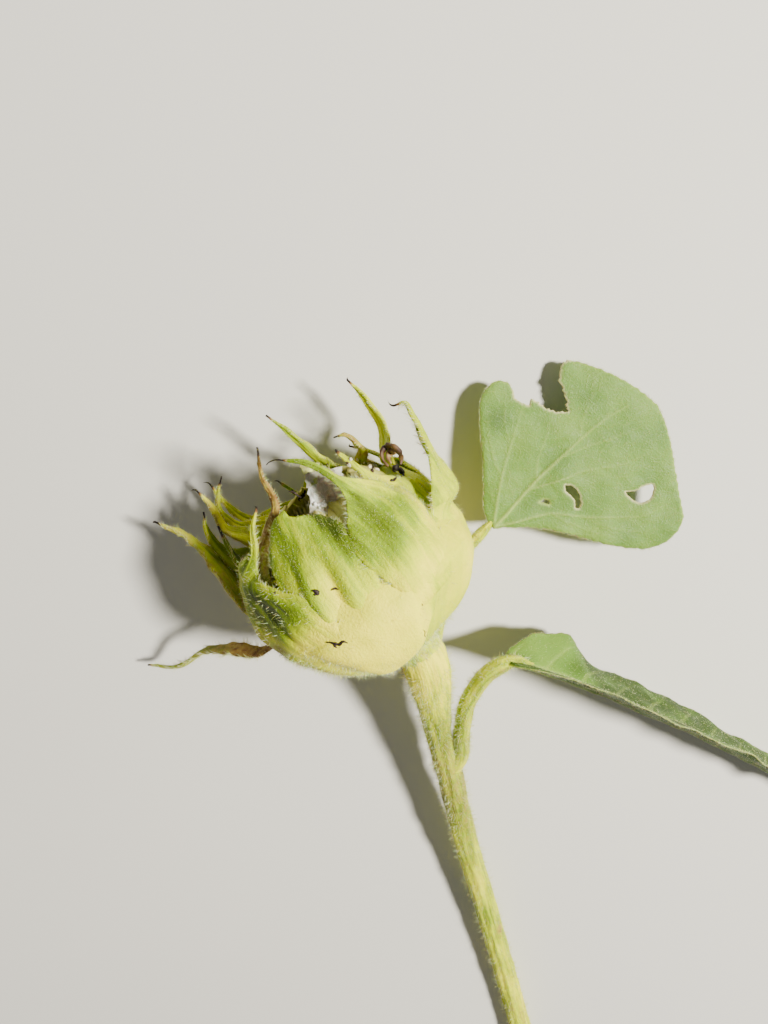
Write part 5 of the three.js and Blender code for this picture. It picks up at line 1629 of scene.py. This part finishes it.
class SUNFLOWER_OT_folded_leaf(bpy.types.Operator):
    """Draws the folded leaf with its toothed, hairy margins"""

    bl_idname = "sunflower.folded_leaf"
    bl_label = "Folded Leaf"

    def execute(self, context):
        line = Line(FOLDED_LINE)
        shares = np.linspace(0, 1, FOLDED_ROWS)
        u = np.linspace(-1, 1, FOLDED_COLUMNS)[None]
        x = 0.75 * u + 0.25 * np.sin(u * np.pi / 2)
        s, beside = shares[:, None], np.abs(x)
        spine, way = line.at(shares), line.way(shares)
        across = unit(HANG - way * (way @ HANG)[:, None])
        face = np.cross(way, across)
        oval = np.sin(np.pi * s ** 0.76) ** 0.62 * (1 - 0.12 * s)
        teeth = saw(s * line.length / FOLDED_TOOTH + 0.15 * relief(s * 30, 3, 81)[:, None])
        half = FOLDED_HALF * oval + 0.8 + beside ** 5 * 0.22 * teeth
        reach = -x * half
        flap = FOLDED_FLAP * (1 - smooth(np.abs(s - 0.1), 0.04, 0.15))
        lean = np.radians(np.where(reach > 0, 17 + flap, 8))
        local = as_grid(reach, s * line.length)
        fold = np.abs(reach) * np.sin(lean)
        slanted = s * line.length - np.abs(reach) * 0.6 - 0.035 * reach ** 2
        side_veins = np.cos(slanted * 2 * np.pi / FOLDED_VEIN_STEP) - 1
        wave = 0.1 * relief(local, 3.4, 82) + 0.36 * beside ** 3 * relief(local * [0.2, 1], 4.2, 83)
        ridge = 0.16 * bell(side_veins, 0.06) * smooth(beside, 0.02, 0.15) * (1 - smooth(beside, 0.75, 1))
        rib = 0.5 * bell(reach, 0.6) * mix(1, 0.3, s)
        thick = 0.2 * np.clip(1 - beside ** 6, 0, 1) + 0.07
        grids = []
        for side, ridged, ribbed in ((1, -0.6, 0), (-1, -1, 1)):
            rise = fold + wave + side * thick + ridge * ridged - rib * ribbed
            grids.append(spine[:, None] + across[:, None] * (reach * np.cos(lean))[..., None]
                         + face[:, None] * rise[..., None])
        vein = bell(side_veins, 0.036 * (1 - 0.8 * beside)) * 0.42 * (1 - smooth(beside, 0.55, 0.92))
        vein = np.maximum(vein, 0.6 * bell(reach, mix(0.5, 0.2, s)))
        vein = np.maximum(vein, 0.8 * smooth(beside, 0.97, 1.0))
        # deep green all over: partly the blade's own green, partly painted shade
        tint = 0.92 + 0.1 * relief(local, 5, 84) - 0.5 * bell(s - 0.08, 0.1) * (reach > 0)
        tint = tint - 0.12 * (reach < 0) * smooth(s, 0.1, 0.2) - 0.2 * smooth(s, 0.05, 0.0)
        values = {"tint": both_faces(tint, tint), "vein": both_faces(vein, vein), "dry": np.zeros((1, 1))}
        blade = leaf_material("Folded Leaf Blade", gloss=0.12, sheen=0.02, down=0.1, net_height=0.3)
        add_piece("folded_leaf_blade", loft(both_faces(*grids), values), blade, "folded_leaf")
        rng = np.random.default_rng(SEEDS["folded_leaf"])
        parts = []
        for end, within in ((0, 3), (-1, -4)):
            edge = grids[1][:, end]
            out = unit(edge - grids[1][:, within])
            pick = rng.choice(np.arange(4, FOLDED_ROWS - 4), FOLDED_EDGE_HAIRS)
            ways = unit(out[pick] + rng.normal(0, 0.45, (len(pick), 3)))
            parts.append(straight_hairs(edge[pick], ways, 0.2, 0.55, 0.027, rng))
        middle = FOLDED_ROWS // 2
        for grid, side in zip(grids, (1, -1)):
            normals = grid_normals(grid)
            if (normals[middle, FOLDED_COLUMNS // 2] @ face[middle]) * side < 0:
                normals = -normals
            parts.append(fuzz(grid, normals, 1.0, FOLDED_FACE_HAIRS, 0.26, rng, 0.02, 0.3))
        add_piece("folded_leaf_hairs", joined(parts), hair_material())
        return {"FINISHED"}


FLOOR_RADIUS = 1.5
FLOOR_SIDES = 96
FLOOR_SHADE = 0.97  # how bright its darker patches are
LIT_PLACE = (HEAD_CENTRE + [20, -25, -5] + SHIFT) * MM  # what the lights turn to, in metres
LIGHT_COLOUR = (1.0, 0.96, 0.85)
SKY_COLOUR = (1.0, 0.98, 0.95, 1)
SEEN_SKY = 1.1  # how bright the sky is where it is seen behind the floor
# The lights: the setting that holds their power, the way to them, their distance and their size in metres
LIGHTS = {
    "key_light": ("key", (0.6, 0.28, 0.75), 0.75, 0.1),
    "fill_light": ("fill", (-0.75, -0.35, 0.6), 0.8, 0.5),
}


def stand(name, data, directions, place):
    """Adds a light or a camera with its own three directions and its place in metres."""
    thing = bpy.data.objects.new(name, data)
    rows = [(*row, at) for row, at in zip(np.transpose(directions), place)]
    thing.matrix_world = Matrix(rows + [(0, 0, 0, 1)])
    bpy.context.scene.collection.objects.link(thing)
    return thing


class SUNFLOWER_OT_stage(bpy.types.Operator):
    """Adds the floor, the lights and the camera"""

    bl_idname = "sunflower.stage"
    bl_label = "Floor, Light and Camera"

    def execute(self, context):
        settings, scene = context.scene.sunflower_stage, context.scene
        self.floor(settings)
        for name, (power, way, distance, size) in LIGHTS.items():
            light = bpy.data.lights.new(name, "AREA")
            light.shape = "DISK"
            light.size = size
            light.energy = getattr(settings, power)
            light.color = LIGHT_COLOUR
            way = unit(np.array(way))
            across = unit(np.cross((0, 1, 0), way))
            stand(name, light, (across, np.cross(way, across), way), LIT_PLACE + way * distance)
        scene.world = self.sky(settings)
        camera = bpy.data.cameras.new("camera")
        camera.lens = CAMERA_LENS
        camera.sensor_width = CAMERA_SENSOR
        camera.clip_start = 0.01
        up = (0, np.cos(CAMERA_TILT), -np.sin(CAMERA_TILT))
        back = (0, np.sin(CAMERA_TILT), np.cos(CAMERA_TILT))
        scene.camera = stand("camera", camera, ((1, 0, 0), up, back), (EYE + SHIFT) * MM)
        return {"FINISHED"}

    def floor(self, settings):
        """A round pale floor."""
        material, n, shader = new_material("Pale Floor", Roughness=0.85, Specular_IOR_Level=0.2)
        soft = n.span(n.noise(n.add("TexCoord").outputs["Object"], 6.0, 2), 0.3, 0.7)
        colour = np.array(settings.floor)
        n.feed(shader.inputs["Base Color"], n.blend(soft, (*colour, 1), (*colour * FLOOR_SHADE, 1)))
        mesh = bpy.data.meshes.new("floor")
        rim = [(FLOOR_RADIUS * np.cos(a), FLOOR_RADIUS * np.sin(a), 0) for a in round_turn(FLOOR_SIDES)]
        mesh.from_pydata(rim, [], [list(range(FLOOR_SIDES))])
        mesh.materials.append(material)
        floor = bpy.data.objects.new("floor", mesh)
        bpy.context.scene.collection.objects.link(floor)

    def sky(self, settings):
        """Soft light all round, seen behind the floor in the floor's own colour."""
        world = bpy.data.worlds.new("soft_sky")
        world.use_nodes = True
        n = Nodes(world.node_tree)
        lit = world.node_tree.nodes["Background"]
        n.feed(lit.inputs["Color"], SKY_COLOUR)
        n.feed(lit.inputs["Strength"], settings.sky)
        seen = n.add("Background", {"Color": (*settings.floor, 1), "Strength": SEEN_SKY})
        camera_ray = n.add("LightPath").outputs["Is Camera Ray"]
        both = n.add("MixShader", {0: camera_ray, 1: lit.outputs[0], 2: seen.outputs[0]})
        n.feed(world.node_tree.nodes["World Output"].inputs["Surface"], both.outputs[0])
        return world


class SUNFLOWER_PT_panel(bpy.types.Panel):
    """Lists the steps that draw the plant"""

    bl_idname = "SUNFLOWER_PT_panel"
    bl_label = "Sunflower"
    bl_space_type = "VIEW_3D"
    bl_region_type = "UI"
    bl_category = "Sunflower"

    def draw(self, context):
        for step in STEPS:
            self.layout.operator("sunflower." + step)


STEPS = ("receptacle", "bracts", "mouth", "caught", "stem", "broad_leaf", "folded_leaf", "stage")
SETTINGS = {"sunflower_head": HeadSettings, "sunflower_stem": StemSettings, "sunflower_leaf": LeafSettings,
            "sunflower_stage": StageSettings}
CLASSES = (*SETTINGS.values(), SUNFLOWER_OT_receptacle, SUNFLOWER_OT_bracts, SUNFLOWER_OT_mouth,
           SUNFLOWER_OT_caught, SUNFLOWER_OT_stem, SUNFLOWER_OT_broad_leaf, SUNFLOWER_OT_folded_leaf,
           SUNFLOWER_OT_stage, SUNFLOWER_PT_panel)


def register():
    for cls in CLASSES:
        bpy.utils.register_class(cls)
    for name, cls in SETTINGS.items():
        setattr(bpy.types.Scene, name, PointerProperty(type=cls))


def unregister():
    for name in SETTINGS:
        delattr(bpy.types.Scene, name)
    for cls in reversed(CLASSES):
        bpy.utils.unregister_class(cls)


def main():
    """Draws the plant step by step."""
    register()
    shader_groups()
    for step in STEPS:
        getattr(bpy.ops.sunflower, step)()


if __name__ == "__main__":
    main()
